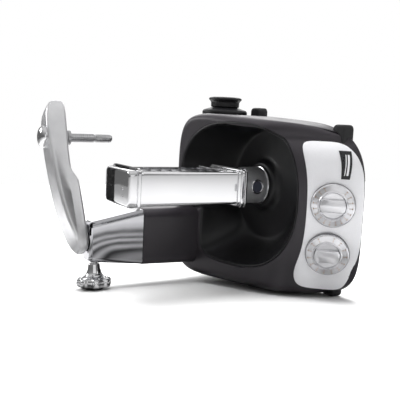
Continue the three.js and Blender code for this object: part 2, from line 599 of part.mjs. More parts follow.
// ---- outlet on the right side: flange, lid, motor behind it ----
const outlet = (profile, segments = 28) =>
  turned(profile, [-outletAt.h, outletAt.y, 0], [0, 0, 1], segments);
const flange = outlet([[21.5, outletTop - 12], [21.5, outletTop + 5], [24, outletTop + 6.5],
  [37, outletTop + 3], [39, outletTop], [39, outletTop - 6], [36, outletTop - 12]]);
add("outlet_flange", without(flange, solidBody.translate([0, 0, GAP]), solidBody), BLACK);
add("outlet_lid", outlet([[0, outletTop + 2], [18, outletTop + 2], [18, outletTop - 9],
  [20.5, outletTop - 9], [21, outletTop + 7.5], [24.5, outletTop + 8], [24.5, outletTop + 16],
  [28.5, outletTop + 20], [28.5, outletTop + 22], [25, outletTop + 24], [0, outletTop + 24.6]]), BLACK);

const MOTOR_R = 22;
add("motor_housing", outlet([[MOTOR_R - 3, 20], [MOTOR_R, 20], [MOTOR_R, 92], [6.5, 92], [6.5, 89],
  [MOTOR_R - 3, 89]]), STEEL);
add("motor_rotor", outlet([[0, -50], [5, -50], [5, 34], [15, 35], [15, 80], [5, 81], [5, 100.5],
  [0, 100.5]], 20), COPPER);
add("motor_fan", outlet([[5 + GAP, 24], [18, 24], [18, 27], [5 + GAP, 27]], 20), BLACK);
add("outlet_drive", outlet([[0, 101], [10, 101], [10, 113], [0, 113]], 6), STEEL);

// ---- gear frame, drive shaft, worm and belt ----
const WHEEL_TEETH = 32;
const WHEEL_R = 36;
const WHEEL_H = 24;
const wheelOutline = (teeth, pitch, depth, phase) => Array.from({ length: teeth * 4 }, (_, i) => {
  const a = ((Math.floor(i / 4) + [-0.3, -0.14, 0.14, 0.3][i % 4] + phase) / teeth) * 2 * Math.PI;
  const r = i % 4 === 1 || i % 4 === 2 ? pitch + depth * 0.7 : pitch - depth;
  return [r * Math.cos(a), r * Math.sin(a)];
});
const gear = (teeth, pitch, depth, phase, from, to, y, z) =>
  prism(wheelOutline(teeth, pitch, depth, phase).map(([a, b]) => [y + a, z + b]), from, to);
add("worm_wheel", without(gear(WHEEL_TEETH, WHEEL_R, 0.9, 0, WHEEL_H - 4, WHEEL_H + 4, DRIVE_Y, DRIVE_Z),
  rod(8 + GAP, 0, 60, DRIVE_Y, DRIVE_Z)), BRASS);
add("drive_shaft", rod(8, 13, 58, DRIVE_Y, DRIVE_Z), STEEL);
add("drive_dog", without(prism(roundedRect(DRIVE_Y, DRIVE_Z, 5, 5, 1, 1), 58 + GAP, 74),
  rod(1, 56, 60, DRIVE_Y, DRIVE_Z, 8)), STEEL);
add("output_bearing", tube(8 + GAP, 13, 44, 53, DRIVE_Y, DRIVE_Z), STEEL);
const wormY = DRIVE_Y + WHEEL_R + 8;
const wormRun = (profile, segments = 14) =>
  turned(profile, [-WHEEL_H, wormY, 0], [0, 0, 1], segments);
const WORM_TURNS = 6;
const wormThread = Array.from({ length: WORM_TURNS * 2 }, (_, i) =>
  [i % 2 === 0 ? 5.6 : 7.2, DRIVE_Z - 22 + (44 * i) / (WORM_TURNS * 2)]);
add("worm_shaft", wormRun([[0, -50], [4, -50], [4, DRIVE_Z - 24], ...wormThread,
  [4, DRIVE_Z + 24], [4, DRIVE_Z + 50], [0, DRIVE_Z + 50]]), STEEL);
const PULLEY_Z0 = -62;
const PULLEY_Z1 = -50 - GAP;
const BIG_GROOVE = 15.5;
const SMALL_GROOVE = BIG_GROOVE / 2;
add("worm_pulley", wormRun([[0, PULLEY_Z0], [17, PULLEY_Z0], [17, PULLEY_Z0 + 2],
  [BIG_GROOVE, PULLEY_Z0 + 2], [BIG_GROOVE, PULLEY_Z1 - 2], [17, PULLEY_Z1 - 2], [17, PULLEY_Z1],
  [0, PULLEY_Z1]], 24), BLACK);
add("motor_pulley", outlet([[0, PULLEY_Z0], [9.2, PULLEY_Z0], [9.2, PULLEY_Z0 + 2],
  [SMALL_GROOVE, PULLEY_Z0 + 2], [SMALL_GROOVE, PULLEY_Z1 - 2], [9.2, PULLEY_Z1 - 2],
  [9.2, PULLEY_Z1], [0, PULLEY_Z1]], 20), BLACK);
// The belt wraps both pulleys: a thin band round the two circles' outer tangents.
const beltRing = (grow) => {
  const ax = -WHEEL_H;
  const ay = wormY;
  const bx = -outletAt.h;
  const by = outletAt.y;
  const span = Math.hypot(bx - ax, by - ay);
  const dir = Math.atan2(by - ay, bx - ax);
  const spreadAngle = Math.acos((BIG_GROOVE - SMALL_GROOVE) / span);
  const arc = (cx, cy, r, from, to) => Array.from({ length: 10 }, (_, i) => {
    const a = from + ((to - from) * i) / 9;
    return [cx + (r + grow) * Math.cos(a), cy + (r + grow) * Math.sin(a)];
  });
  return [...arc(ax, ay, BIG_GROOVE, dir + spreadAngle, dir + 2 * Math.PI - spreadAngle),
    ...arc(bx, by, SMALL_GROOVE, dir - spreadAngle, dir + spreadAngle)];
};
const beltAt = (grow, z) => beltRing(grow).map(([x, y]) => [x, y, z]);
add("drive_belt", loft([beltAt(GAP, PULLEY_Z0 + 2.6), beltAt(1.9, PULLEY_Z0 + 2.6),
  beltAt(1.9, PULLEY_Z1 - 2.6), beltAt(GAP, PULLEY_Z1 - 2.6)], true), RUBBER);

const FRAME_H0 = 5;
let frame = box(-FRAME_H0 - 5, -FRAME_H0, DRIVE_Y - 52, wormY + 16, DRIVE_Z - 34, DRIVE_Z + 56);
frame = union(frame, box(-40, -FRAME_H0, DRIVE_Y - 52, DRIVE_Y - 44, DRIVE_Z - 34, DRIVE_Z + 34));
frame = union(frame, box(-33, -FRAME_H0, wormY - 10, wormY + 10, DRIVE_Z + 40, DRIVE_Z + 48));
frame = union(frame, box(-33, -FRAME_H0, wormY - 10, wormY + 10, DRIVE_Z - 34, DRIVE_Z - 28));
frame = without(frame, wormRun([[0, -60], [4 + GAP, -60], [4 + GAP, 100], [0, 100]]));
frame = without(frame, rod(8 + GAP, -5, 12.5, DRIVE_Y, DRIVE_Z));
add("gear_frame", frame, CAST);
add("control_board", box(-20, -17.5, 62, 112, -80, -10), BOARD);
const inletLine = [[0, -20], [8.6, -20], [8.6, 1], [13, 1], [13, 5], [4, 8], [0, 8]];
add("power_inlet", turned(inletLine.map(([r, y]) => [r, BODY_LENGTH + y]), INLET_AT, [0, 1, 0], 16),
  BLACK);

// ---- cutter: adapter, two end housings, covers, rollers ----
const cy = DRIVE_Y;
const cz = DRIVE_Z;
const CAP_R0 = CUTTER_START - 2; // height where the right end housing starts
const CAP_R1 = 124; // inner side of the right end housing
const CAP_L0 = CUTTER_END - 20.5; // inner side of the left end housing
const FLAT = 5;
const endOutline = (grow, r) => roundedRect(cy, cz, CUTTER_HALF_Y + grow, CUTTER_HALF_Z + grow, r, FLAT);
const ringAt = (h, grow, r = 7) => endOutline(grow, r).map(([y, z]) => [-h, y, z]);
const JOURNAL_R = 4;
const rollerYs = { front: cy - ROLLER_OFFSET, rear: cy + ROLLER_OFFSET };
const journalHoles = (from, to) => Object.values(rollerYs)
  .map((y) => rod(JOURNAL_R + GAP, from, to, y, cz, 20));

let adapter = turned([[10.4, ADAPTER_START], [ADAPTER_R, ADAPTER_START], [ADAPTER_R + 1.6,
  ADAPTER_START + 0.5], [ADAPTER_R + 1.6, ADAPTER_START + 3], [ADAPTER_R, ADAPTER_START + 3.6],
[ADAPTER_R - 1.5, CAP_R0 - 6], [ADAPTER_R - 4, CAP_R0 - GAP], [10.4, CAP_R0 - GAP]],
[0, cy, cz], [-1, 0, 0], 36);
const buttonAt = { h: 79, r: 8.2 };
const buttonRun = (profile, segments = 20) =>
  turned(profile, [-buttonAt.h, cy, cz], [0, -1, 0], segments);
adapter = without(adapter, buttonRun([[0, ADAPTER_R - 14.5], [buttonAt.r + GAP, ADAPTER_R - 14.5],
  [buttonAt.r + GAP, ADAPTER_R + 11.5], [0, ADAPTER_R + 11.5]]));
add("adapter_housing", adapter, SATIN);
add("lock_button", buttonRun([[0, ADAPTER_R - 10], [buttonAt.r - 0.2, ADAPTER_R - 10],
  [buttonAt.r - 0.2, ADAPTER_R - 0.9], [buttonAt.r - 1.2, ADAPTER_R - 0.1], [0, ADAPTER_R - 0.1]]), BLACK);
add("adapter_ring", turned([[buttonAt.r + 0.8, ADAPTER_R - 0.1], [buttonAt.r + 2.3, ADAPTER_R - 0.1],
  [buttonAt.r + 2.3, ADAPTER_R + 0.8], [buttonAt.r + 0.8, ADAPTER_R + 1.1]],
[-buttonAt.h, cy, cz], [0, -1, 0], 24), CHROME);

let rightCap = loft([ringAt(CAP_R0, -3), ringAt(CAP_R0 + 2, -1), ringAt(CAP_R0 + 2.2, 1),
  ringAt(CAP_R0 + 5.5, 1), ringAt(CAP_R0 + 5.7, -0.8), ringAt(CAP_R0 + 7.8, -0.8),
  ringAt(CAP_R0 + 8, 1), ringAt(CAP_R1 - 4, 1), ringAt(CAP_R1 - 3.8, -1.5), ringAt(CAP_R1, -1.5)]);
rightCap = without(rightCap, loft([ringAt(CAP_R0 + 3, -5, 5), ringAt(CAP_R1 - 3, -5, 5)]));
rightCap = without(rightCap, rod(10, 90, CAP_R0 + 4, cy, cz), ...journalHoles(CAP_R1 - 6, CAP_R1 + 4));
add("cutter_right_cap", rightCap, CHROME);

let leftCap = loft([ringAt(CAP_L0, -1.5), ringAt(CAP_L0 + 4, -1.5), ringAt(CAP_L0 + 4.2, 1.2),
  ringAt(CAP_L0 + 8.4, 1.2), ringAt(CAP_L0 + 8.6, -2), ringAt(CUTTER_END - 3, -2.2, 8),
  ringAt(CUTTER_END - 1, -3, 7.5), ringAt(CUTTER_END, -4.6, 6.5)]);
leftCap = without(leftCap, loft([ringAt(CAP_L0 + 3, -5.5, 5), ringAt(CUTTER_END - 3.5, -7.5, 4)]));
leftCap = without(leftCap, ...journalHoles(CAP_L0 - 3, CAP_L0 + 4));
leftCap = without(leftCap,
  box(-320, -CUTTER_END + 3, rollerYs.front - 4, rollerYs.front + 4, cz - 4, cz + 4));
add("cutter_left_cap", leftCap, CHROME);

const coverFrom = CAP_R1 + GAP;
const coverTo = CAP_L0 - GAP;
const frontFace = cy - CUTTER_HALF_Y + 4;
const rearFace = cy + CUTTER_HALF_Y;
const coverRise = CUTTER_HALF_Z - 4;
const bent = (pts, t) => prism(pts, coverFrom, coverTo);
add("front_cover", bent([
  [frontFace + 13, cz + coverRise], [frontFace + 3, cz + coverRise], [frontFace, cz + coverRise - 3],
  [frontFace, cz - coverRise + 3], [frontFace + 3, cz - coverRise], [frontFace + 16, cz - coverRise],
  [frontFace + 16, cz - coverRise + 1.6], [frontFace + 3.6, cz - coverRise + 1.6],
  [frontFace + 1.6, cz - coverRise + 3.6], [frontFace + 1.6, cz + coverRise - 3.6],
  [frontFace + 3.6, cz + coverRise - 1.6], [frontFace + 13, cz + coverRise - 1.6]]), CHROME);
add("rear_cover", bent([
  [rearFace - 17, cz + coverRise], [rearFace - 3, cz + coverRise], [rearFace, cz + coverRise - 3],
  [rearFace, cz - coverRise + 3], [rearFace - 3, cz - coverRise], [rearFace - 20, cz - coverRise],
  [rearFace - 20, cz - coverRise + 1.6], [rearFace - 3.6, cz - coverRise + 1.6],
  [rearFace - 1.6, cz - coverRise + 3.6], [rearFace - 1.6, cz + coverRise - 3.6],
  [rearFace - 3.6, cz + coverRise - 1.6], [rearFace - 17, cz + coverRise - 1.6]].reverse()), CHROME);
add("top_strap", box(-143, -133, frontFace + 2, rearFace - 2,
  cz + coverRise + GAP, cz + coverRise + 2), CHROME);
const rodY = { front: frontFace + 5, rear: rearFace - 8 };
for (const [name, y] of Object.entries(rodY)) {
  add(`tie_rod_${name}`, rod(2.5, coverFrom, coverTo, y, cz - 14, 12), STEEL);
}
const comb = (side) => {
  const y = cy + side * 32;
  return prism([[y - 1, cz - 21], [y + 1, cz - 21], [y + 1, cz + 6], [y - 1, cz + 6]],
    coverFrom, coverTo);
};
add("comb_front", comb(-1), STEEL);
add("comb_rear", comb(1), STEEL);

// Rollers with ridges that run in each other's grooves.
const RIDGE_R = 15.6;
const GROOVE_R = 12.4;
const RIDGES = 8;
const rollerFrom = CAP_R1 + 1;
const rollerTo = CAP_L0 - 1;
const ridgePitch = (rollerTo - rollerFrom) / (RIDGES + 0.5);
const roller = (y, shift, near, far) => {
  const profile = [[0, near], [JOURNAL_R - 0.3, near], [JOURNAL_R - 0.3, rollerFrom]];
  for (let i = 0; i < RIDGES; i++) {
    const start = rollerFrom + shift * ridgePitch * 0.5 + i * ridgePitch;
    const end = start + ridgePitch * 0.5 - 0.5;
    profile.push([GROOVE_R, start], [RIDGE_R, start + 0.2], [RIDGE_R, end], [GROOVE_R, end + 0.2]);
  }
  profile.push([GROOVE_R, rollerTo], [JOURNAL_R - 0.3, rollerTo], [JOURNAL_R - 0.3, far], [0, far]);
  if (shift === 0) profile.splice(3, 1, [GROOVE_R, rollerFrom]);
  return turned(profile, [0, y, cz], [-1, 0, 0], 12);
};
const LEFT_GEAR0 = CAP_L0 + 5;
const LEFT_GEAR1 = CAP_L0 + 10;
const RIGHT_GEAR0 = CAP_R0 + 5;
const RIGHT_GEAR1 = CAP_R0 + 10;
add("roller_front", roller(rollerYs.front, 0, RIGHT_GEAR0 - 1, LEFT_GEAR1 + 1), STEEL);
add("roller_rear", roller(rollerYs.rear, 1, CAP_R1 - 2.5, LEFT_GEAR1 + 1), STEEL);
const PAIR_TEETH = 29;
const gearHole = (y) => rod(JOURNAL_R - 0.3 + GAP, 80, 320, y, cz, 20);
add("gear_front", without(gear(PAIR_TEETH, ROLLER_OFFSET, 0.75, 0, LEFT_GEAR0, LEFT_GEAR1,
  rollerYs.front, cz), gearHole(rollerYs.front)), BRASS);
add("gear_rear", without(gear(PAIR_TEETH, ROLLER_OFFSET, 0.75, 0, LEFT_GEAR0, LEFT_GEAR1,
  rollerYs.rear, cz), gearHole(rollerYs.rear)), BRASS);
add("gear_driven", without(gear(16, 8, 0.75, 0.5, RIGHT_GEAR0, RIGHT_GEAR1,
  rollerYs.front, cz), gearHole(rollerYs.front)), BRASS);
add("gear_pinion", union(gear(13, 6.5, 0.75, 0.5, RIGHT_GEAR0, RIGHT_GEAR1, cy, cz),
  rod(5, CAP_R0 - 30, RIGHT_GEAR0 + 1, cy, cz, 20)), STEEL);
add("drive_socket", without(rod(9.8, 59, CAP_R0 - 31, cy, cz, 24),
  box(-75, -50, cy - 5 - GAP, cy + 5 + GAP, cz - 5 - GAP, cz + 5 + GAP)), STEEL);

// ---- set the origin at the middle of the box's floor ----
const bounds = new THREE.Box3().setFromObject(group);
const centre = bounds.getCenter(new THREE.Vector3());
for (const mesh of group.children) {
  mesh.geometry.translate(-centre.x, -centre.y, -bounds.min.z);
}

export default group;
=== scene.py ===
import json
import math

import bmesh
import bpy
import numpy as np
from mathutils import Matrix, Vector


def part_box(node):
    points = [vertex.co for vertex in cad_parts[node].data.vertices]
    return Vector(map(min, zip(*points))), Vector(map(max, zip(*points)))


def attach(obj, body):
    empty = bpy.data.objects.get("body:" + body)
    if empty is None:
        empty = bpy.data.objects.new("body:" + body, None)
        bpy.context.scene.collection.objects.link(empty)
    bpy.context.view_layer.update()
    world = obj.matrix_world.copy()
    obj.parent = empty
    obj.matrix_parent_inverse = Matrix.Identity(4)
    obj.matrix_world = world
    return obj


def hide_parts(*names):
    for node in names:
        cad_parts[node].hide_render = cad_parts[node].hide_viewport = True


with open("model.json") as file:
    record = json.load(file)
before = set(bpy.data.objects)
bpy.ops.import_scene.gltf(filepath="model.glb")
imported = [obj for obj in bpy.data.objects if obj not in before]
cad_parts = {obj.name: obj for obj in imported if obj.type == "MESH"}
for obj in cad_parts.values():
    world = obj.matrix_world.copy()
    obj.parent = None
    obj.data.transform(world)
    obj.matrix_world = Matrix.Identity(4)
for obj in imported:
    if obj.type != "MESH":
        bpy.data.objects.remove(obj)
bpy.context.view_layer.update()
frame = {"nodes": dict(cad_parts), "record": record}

# Camera. It stands to the left of the machine's front, a little above its middle,
# as for a plain studio picture of the whole machine.
camera_data = bpy.data.cameras.new("studio_camera")
camera_data.lens = 59.0
camera_data.sensor_width = 36
camera = bpy.data.objects.new("studio_camera", camera_data)
bpy.context.scene.collection.objects.link(camera)
camera.location = (-0.47842, -0.88222, 0.1846)
aim = Vector((-0.00165, -0.04633, 0.1426)) - camera.location
camera.rotation_mode = "QUATERNION"
camera.rotation_quaternion = aim.to_track_quat("-Z", "Y")
bpy.context.scene.camera = camera

# Housing. One steel and plastic body, sprayed in a satin charcoal with fine metal flake.
# It lies on its side, rolled on to its corner feet, so its own sizes are given as height
# above the underside, distance from the front and distance to the right, in millimetres.
ROLL = math.radians(5.5)
post_low, post_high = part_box("arm_post")
column_mid = (post_low + post_high) / 2
COLUMN_Y, COLUMN_Z = 281.4, -72.3
right = Vector((0, -math.sin(ROLL), math.cos(ROLL)))
back = Vector((0, math.cos(ROLL), math.sin(ROLL)))
UNDERSIDE_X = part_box("foot_front_right")[1].x - 0.005


def seat(h, y, z):
    """A point of the machine, in metres."""
    spot = Vector((UNDERSIDE_X - h / 1000, column_mid.y, column_mid.z))
    return spot + back * (y - COLUMN_Y) / 1000 + right * (z - COLUMN_Z) / 1000


def skin(name, rings, body, caps=True, sharp=35):
    """A smooth skin over rings of points, in metres, riding on a body."""
    count = len(rings[0])
    points = [tuple(p) for ring in rings for p in ring]
    faces = []
    for r in range(len(rings) - 1):
        n = r + 1
        for i in range(count):
            j = (i + 1) % count
            faces.append((r * count + i, r * count + j, n * count + j, n * count + i))
    if caps:
        faces.append(tuple(reversed(range(count))))
        faces.append(tuple((len(rings) - 1) * count + i for i in range(count)))
    mesh = bpy.data.meshes.new(name)
    mesh.from_pydata(points, [], faces)
    work = bmesh.new()
    work.from_mesh(mesh)
    bmesh.ops.remove_doubles(work, verts=work.verts, dist=1e-6)
    bmesh.ops.recalc_face_normals(work, faces=work.faces)
    work.to_mesh(mesh)
    work.free()
    mesh.polygons.foreach_set("use_smooth", [True] * len(mesh.polygons))
    mesh.set_sharp_from_angle(angle=math.radians(sharp))
    piece = bpy.data.objects.new(name, mesh)
    bpy.context.scene.collection.objects.link(piece)
    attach(piece, body)
    return piece


def power(v, p):
    return math.copysign(abs(v) ** p, v)


BODY_LENGTH, BODY_HALF_WIDTH, BODY_TAPER = 342, 130.5, 0.045
DRIVE_Y, DRIVE_Z = 178, 25
FRONT_SLOPE, FRONT_FOOT, UPPER_SLOPE, UPPER_FOOT, BLEND = 1.14, 4, 0.225, 64.5, 8
LEFT_BOW, RIGHT_BOW = 16, 34.5


def body_outline(a):
    n = 3.6 if math.cos(a) < 0 < math.sin(a) else 5
    y = BODY_LENGTH / 2 * (1 + power(math.cos(a), 2 / n))
    half = BODY_HALF_WIDTH + BODY_TAPER * (y - BODY_LENGTH / 2)
    return y, half * power(math.sin(a), 2 / n)


def front_bow(z):
    bow = 30 * (abs(z) / 99) ** 4
    return LEFT_BOW * math.tanh(bow / LEFT_BOW) if z < 0 else min(bow, RIGHT_BOW)


def top_height(y, z):
    """The housing's height: a steep front that blends into a gently rising upper side."""
    front = FRONT_FOOT + FRONT_SLOPE * (y - front_bow(z))
    upper = UPPER_FOOT + UPPER_SLOPE * y
    return front - BLEND * math.log(1 + math.exp((front - upper) / BLEND))


AROUND, LIP = 180, 1.2
outline_fine = np.array([body_outline(k / 3600 * 2 * math.pi) for k in range(3600)])
outline_turn = np.arctan2(outline_fine[:, 1] - DRIVE_Z, outline_fine[:, 0] - DRIVE_Y)
outline_far = np.hypot(outline_fine[:, 1] - DRIVE_Z, outline_fine[:, 0] - DRIVE_Y)
order = np.argsort(outline_turn)
turns = np.arange(AROUND) / AROUND * 2 * math.pi
edge_far = np.interp((turns + math.pi) % (2 * math.pi) - math.pi, outline_turn[order],
                     outline_far[order], period=2 * math.pi)


RIM_Y, RIM_Z, RIM_HALF_Y, RIM_HALF_Z, RIM_POWER = 182, 11, 121, 111, 2.6


def inside_rim(y, z):
    """Whether a spot lies inside the well's opening, which stops short of the pedestal."""
    v = abs((y - RIM_Y) / RIM_HALF_Y) ** RIM_POWER + abs((z - RIM_Z) / RIM_HALF_Z) ** RIM_POWER
    return v < 1 and not (z < COLUMN_Z + 52 and y > COLUMN_Y - 33)


def rim_distance(a):
    far = 85.0
    while inside_rim(DRIVE_Y + far * math.cos(a), DRIVE_Z + far * math.sin(a)):
        far += 0.25
    return far


rim_far = np.array([rim_distance(a) for a in turns])
for _ in range(12):
    rim_far = np.minimum(rim_far, (np.roll(rim_far, 1) + 2 * rim_far + np.roll(rim_far, -1)) / 4)


REAR_LEAN, LEAN_START, LEAN_HEIGHT = 24, BODY_LENGTH / 2, 130


def rear_lean(y, h):
    """How far the back leans forward at a height."""
    return (REAR_LEAN * (max(y - LEAN_START, 0) / LEAN_START) ** 2
            * (max(h, 0) / LEAN_HEIGHT) ** 2)


def body_ring(far, height):
    ring = []
    for a, f in zip(turns, far):
        y, z = DRIVE_Y + f * math.cos(a), DRIVE_Z + f * math.sin(a)
        lean = rear_lean(y, height(max(top_height(y, z), LIP)))
        ring.append(seat(height(max(top_height(y - lean, z), LIP)), y - lean, z))
    return ring


edge_y, edge_z = DRIVE_Y + edge_far * np.cos(turns), DRIVE_Z + edge_far * np.sin(turns)
edge_round = np.array([min(14, 0.5 * (max(top_height(y, z), LIP) - 0.9)) for y, z in zip(edge_y, edge_z)])
housing_rings = [body_ring(edge_far - 1, lambda h: 0), body_ring(edge_far - 0.3, lambda h: 0.3),
                 body_ring(edge_far, lambda h: 0.9)]
housing_rings += [body_ring(edge_far, lambda h, k=k: 0.9 + (h - 0.9) * k) for k in (0.2, 0.4, 0.6, 0.75)]
for turn in range(0, 91, 10):
    t = math.radians(turn)
    ring = []
    for a, f, r in zip(turns, edge_far, edge_round):
        far = f - r * (1 - math.cos(t))
        y, z = DRIVE_Y + far * math.cos(a), DRIVE_Z + far * math.sin(a)
        drop = r * (1 - math.sin(t))
        y -= rear_lean(y, top_height(y, z) - drop)
        ring.append(seat(max(top_height(y, z), LIP) - drop, y, z))
    housing_rings.append(ring)
edge_ring = housing_rings[-1]


def rim_ring(far, drop):
    return [seat(top_height(DRIVE_Y + f * math.cos(a), DRIVE_Z + f * math.sin(a)) - drop,
                 DRIVE_Y + f * math.cos(a), DRIVE_Z + f * math.sin(a)) for a, f in zip(turns, far)]


for share in (0.15, 0.3, 0.45, 0.6, 0.75, 0.88, 1):
    ring = []
    for a, edge, rim in zip(turns, edge_ring, rim_far):
        out = Vector(edge) - seat(0, COLUMN_Y, COLUMN_Z)
        y0 = COLUMN_Y + out.dot(back) * 1000
        z0 = COLUMN_Z + out.dot(right) * 1000
        y = y0 + (DRIVE_Y + (rim + 1.2) * math.cos(a) - y0) * share
        z = z0 + (DRIVE_Z + (rim + 1.2) * math.sin(a) - z0) * share
        ring.append(seat(top_height(y, z), y, z))
    housing_rings.append(ring)
housing_rings.append(rim_ring(rim_far + 0.4, 0.5))
housing_rings.append(rim_ring(rim_far + 0.2, 6))
housing = skin("housing_body", housing_rings, "machine", caps=False, sharp=50)


def rounded_block(y, z, half_y, half_z, r, steps=8):
    points = []
    for sy, sz, start in ((1, 1, 0), (-1, 1, 90), (-1, -1, 180), (1, -1, 270)):
        for k in range(steps + 1):
            a = math.radians(start + 90 * k / steps)
            points.append((y + sy * (half_y - r) + r * math.cos(a),
                           z + sz * (half_z - r) + r * math.sin(a)))
    return points


PEDESTAL_TOP, COVER_END = 218, 304.5


def pedestal_ring(h, grow):
    t = (PEDESTAL_TOP - h) / 100
    y0, y1 = COLUMN_Y - 25 - 3 * t, COLUMN_Y + 27 + 3 * t
    z0, z1 = COLUMN_Z - 41 - 2 * t, COLUMN_Z + 50.5 + t
    block = rounded_block((y0 + y1) / 2, (z0 + z1) / 2, (y1 - y0) / 2 + grow,
                          (z1 - z0) / 2 + grow, 16 + grow)
    return [seat(h, y, z) for y, z in block]


pedestal = skin("housing_pedestal", [
    pedestal_ring(100, 0), pedestal_ring(160, 0), pedestal_ring(214, 0), pedestal_ring(216.6, -0.5),
    pedestal_ring(217.8, -1.6), pedestal_ring(218, -3)], "machine")


def finish_of(name, colour, rough, metal=0.0, coat=0.0, coat_rough=0.1, specular=0.5):
    """A shader with its plain values set; returns the material, its nodes, links and shader."""
    made = bpy.data.materials.new(name)
    made.use_nodes = True
    nodes, links = made.node_tree.nodes, made.node_tree.links
    shader = nodes["Principled BSDF"]
    shader.inputs["Base Color"].default_value = (*colour, 1)
    shader.inputs["Roughness"].default_value = rough
    shader.inputs["Metallic"].default_value = metal
    shader.inputs["Coat Weight"].default_value = coat
    shader.inputs["Coat Roughness"].default_value = coat_rough
    shader.inputs["Specular IOR Level"].default_value = specular
    return made, nodes, links, shader


def grain(nodes, links, scale, detail=4.0, stretch=None):
    """Fine noise in the piece's own place."""
    place = nodes.new("ShaderNodeTexCoord")
    noise = nodes.new("ShaderNodeTexNoise")
    noise.inputs["Scale"].default_value = scale
    noise.inputs["Detail"].default_value = detail
    source = place.outputs["Object"]
    if stretch:
        mapping = nodes.new("ShaderNodeMapping")
        mapping.inputs["Scale"].default_value = stretch
        links.new(source, mapping.inputs["Vector"])
        source = mapping.outputs["Vector"]
    links.new(source, noise.inputs["Vector"])
    return noise.outputs["Fac"]


def spread(nodes, links, source, low, high):
    """Maps a noise to a range of values."""
    span = nodes.new("ShaderNodeMapRange")
    span.inputs["From Min"].default_value = 0.3
    span.inputs["From Max"].default_value = 0.7
    span.inputs["To Min"].default_value = low
    span.inputs["To Max"].default_value = high
    links.new(source, span.inputs["Value"])
    return span.outputs["Result"]


def two_tone(nodes, links, source, dark, light):
    ramp = nodes.new("ShaderNodeValToRGB")
    ramp.color_ramp.elements[0].position = 0.3
    ramp.color_ramp.elements[0].color = (*dark, 1)
    ramp.color_ramp.elements[1].position = 0.7
    ramp.color_ramp.elements[1].color = (*light, 1)
    links.new(source, ramp.inputs["Fac"])
    return ramp.outputs["Color"]


def bumped(nodes, links, source, strength, depth):
    bump = nodes.new("ShaderNodeBump")
    bump.inputs["Strength"].default_value = strength
    bump.inputs["Distance"].default_value = depth
    links.new(source, bump.inputs["Height"])
    return bump.outputs["Normal"]


charcoal, nodes, links, shader = finish_of("charcoal_paint", (0.03, 0.028, 0.032), 0.4, 0.35,
                                           coat=0.3, coat_rough=0.35)
flake = grain(nodes, links, 2600, 2)
links.new(two_tone(nodes, links, flake, (0.022, 0.019, 0.023), (0.038, 0.033, 0.04)),
          shader.inputs["Base Color"])
links.new(spread(nodes, links, grain(nodes, links, 40, 3), 0.36, 0.44), shader.inputs["Roughness"])
links.new(bumped(nodes, links, flake, 0.12, 0.0001), shader.inputs["Normal"])
for piece in (housing, pedestal):
    piece.data.materials.append(charcoal)
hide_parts("housing_shell")

# Well liner. A moulded black plastic bowl that drops into the housing's opening: a
# rounded rim, walls that run down to a round floor, and a raised hub round the drive.
WELL_FLOOR_H, WELL_FLOOR_R, HUB_R, HUB_H = 45, 84, 36, 56


def climb(t, top):
    return WELL_FLOOR_H + (top - WELL_FLOOR_H) * t ** 1.5


def well_ring(t, out, height):
    ring = []
    for a, rim in zip(turns, rim_far):
        far = WELL_FLOOR_R + (rim - WELL_FLOOR_R) * t + out
        top = top_height(DRIVE_Y + rim * math.cos(a), DRIVE_Z + rim * math.sin(a))
        ring.append(seat(height(top), DRIVE_Y + far * math.cos(a), DRIVE_Z + far * math.sin(a)))
    return ring


def floor_ring(r, h):
    return [seat(h, DRIVE_Y + r * math.cos(a), DRIVE_Z + r * math.sin(a)) for a in turns]


liner_rings = [well_ring(1, -0.2, lambda top: top - 5), well_ring(1, -0.2, lambda top: top + 0.1),
               well_ring(1, -0.9, lambda top: top + 0.6), well_ring(1, -2.4, lambda top: top + 0.5),
               well_ring(1, -3.6, lambda top: top - 0.6), well_ring(1, -4.2, lambda top: top - 3)]
for t in (0.9, 0.8, 0.7, 0.6, 0.5, 0.4, 0.3, 0.2, 0.12, 0.05, 0.0):
    liner_rings.append(well_ring(t, -3 * t, lambda top, t=t: climb(t, top)))
for r, h in ((80, 44.6), (HUB_R + 12, 44.6), (HUB_R + 6, 45.4), (HUB_R + 2.5, 48), (HUB_R + 1, 52),
             (HUB_R - 0.5, 54.8), (HUB_R - 3, HUB_H), (30.5, HUB_H), (30, 54.5), (14, 54.5),
             (13.5, 50), (13, 40)):
    liner_rings.append(floor_ring(r, h))
liner = skin("well_bowl", liner_rings, "machine", caps=False, sharp=40)
black_plastic, nodes, links, shader = finish_of("black_plastic", (0.006, 0.006, 0.007), 0.42,
                                                specular=0.42)
spark = grain(nodes, links, 1500, 3)
links.new(two_tone(nodes, links, grain(nodes, links, 25, 3), (0.006, 0.006, 0.007),
                   (0.009, 0.0088, 0.01)), shader.inputs["Base Color"])
links.new(spread(nodes, links, grain(nodes, links, 60, 4), 0.36, 0.48), shader.inputs["Roughness"])
links.new(bumped(nodes, links, spark, 0.15, 0.00015), shader.inputs["Normal"])
liner.data.materials.append(black_plastic)
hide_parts("well_liner")

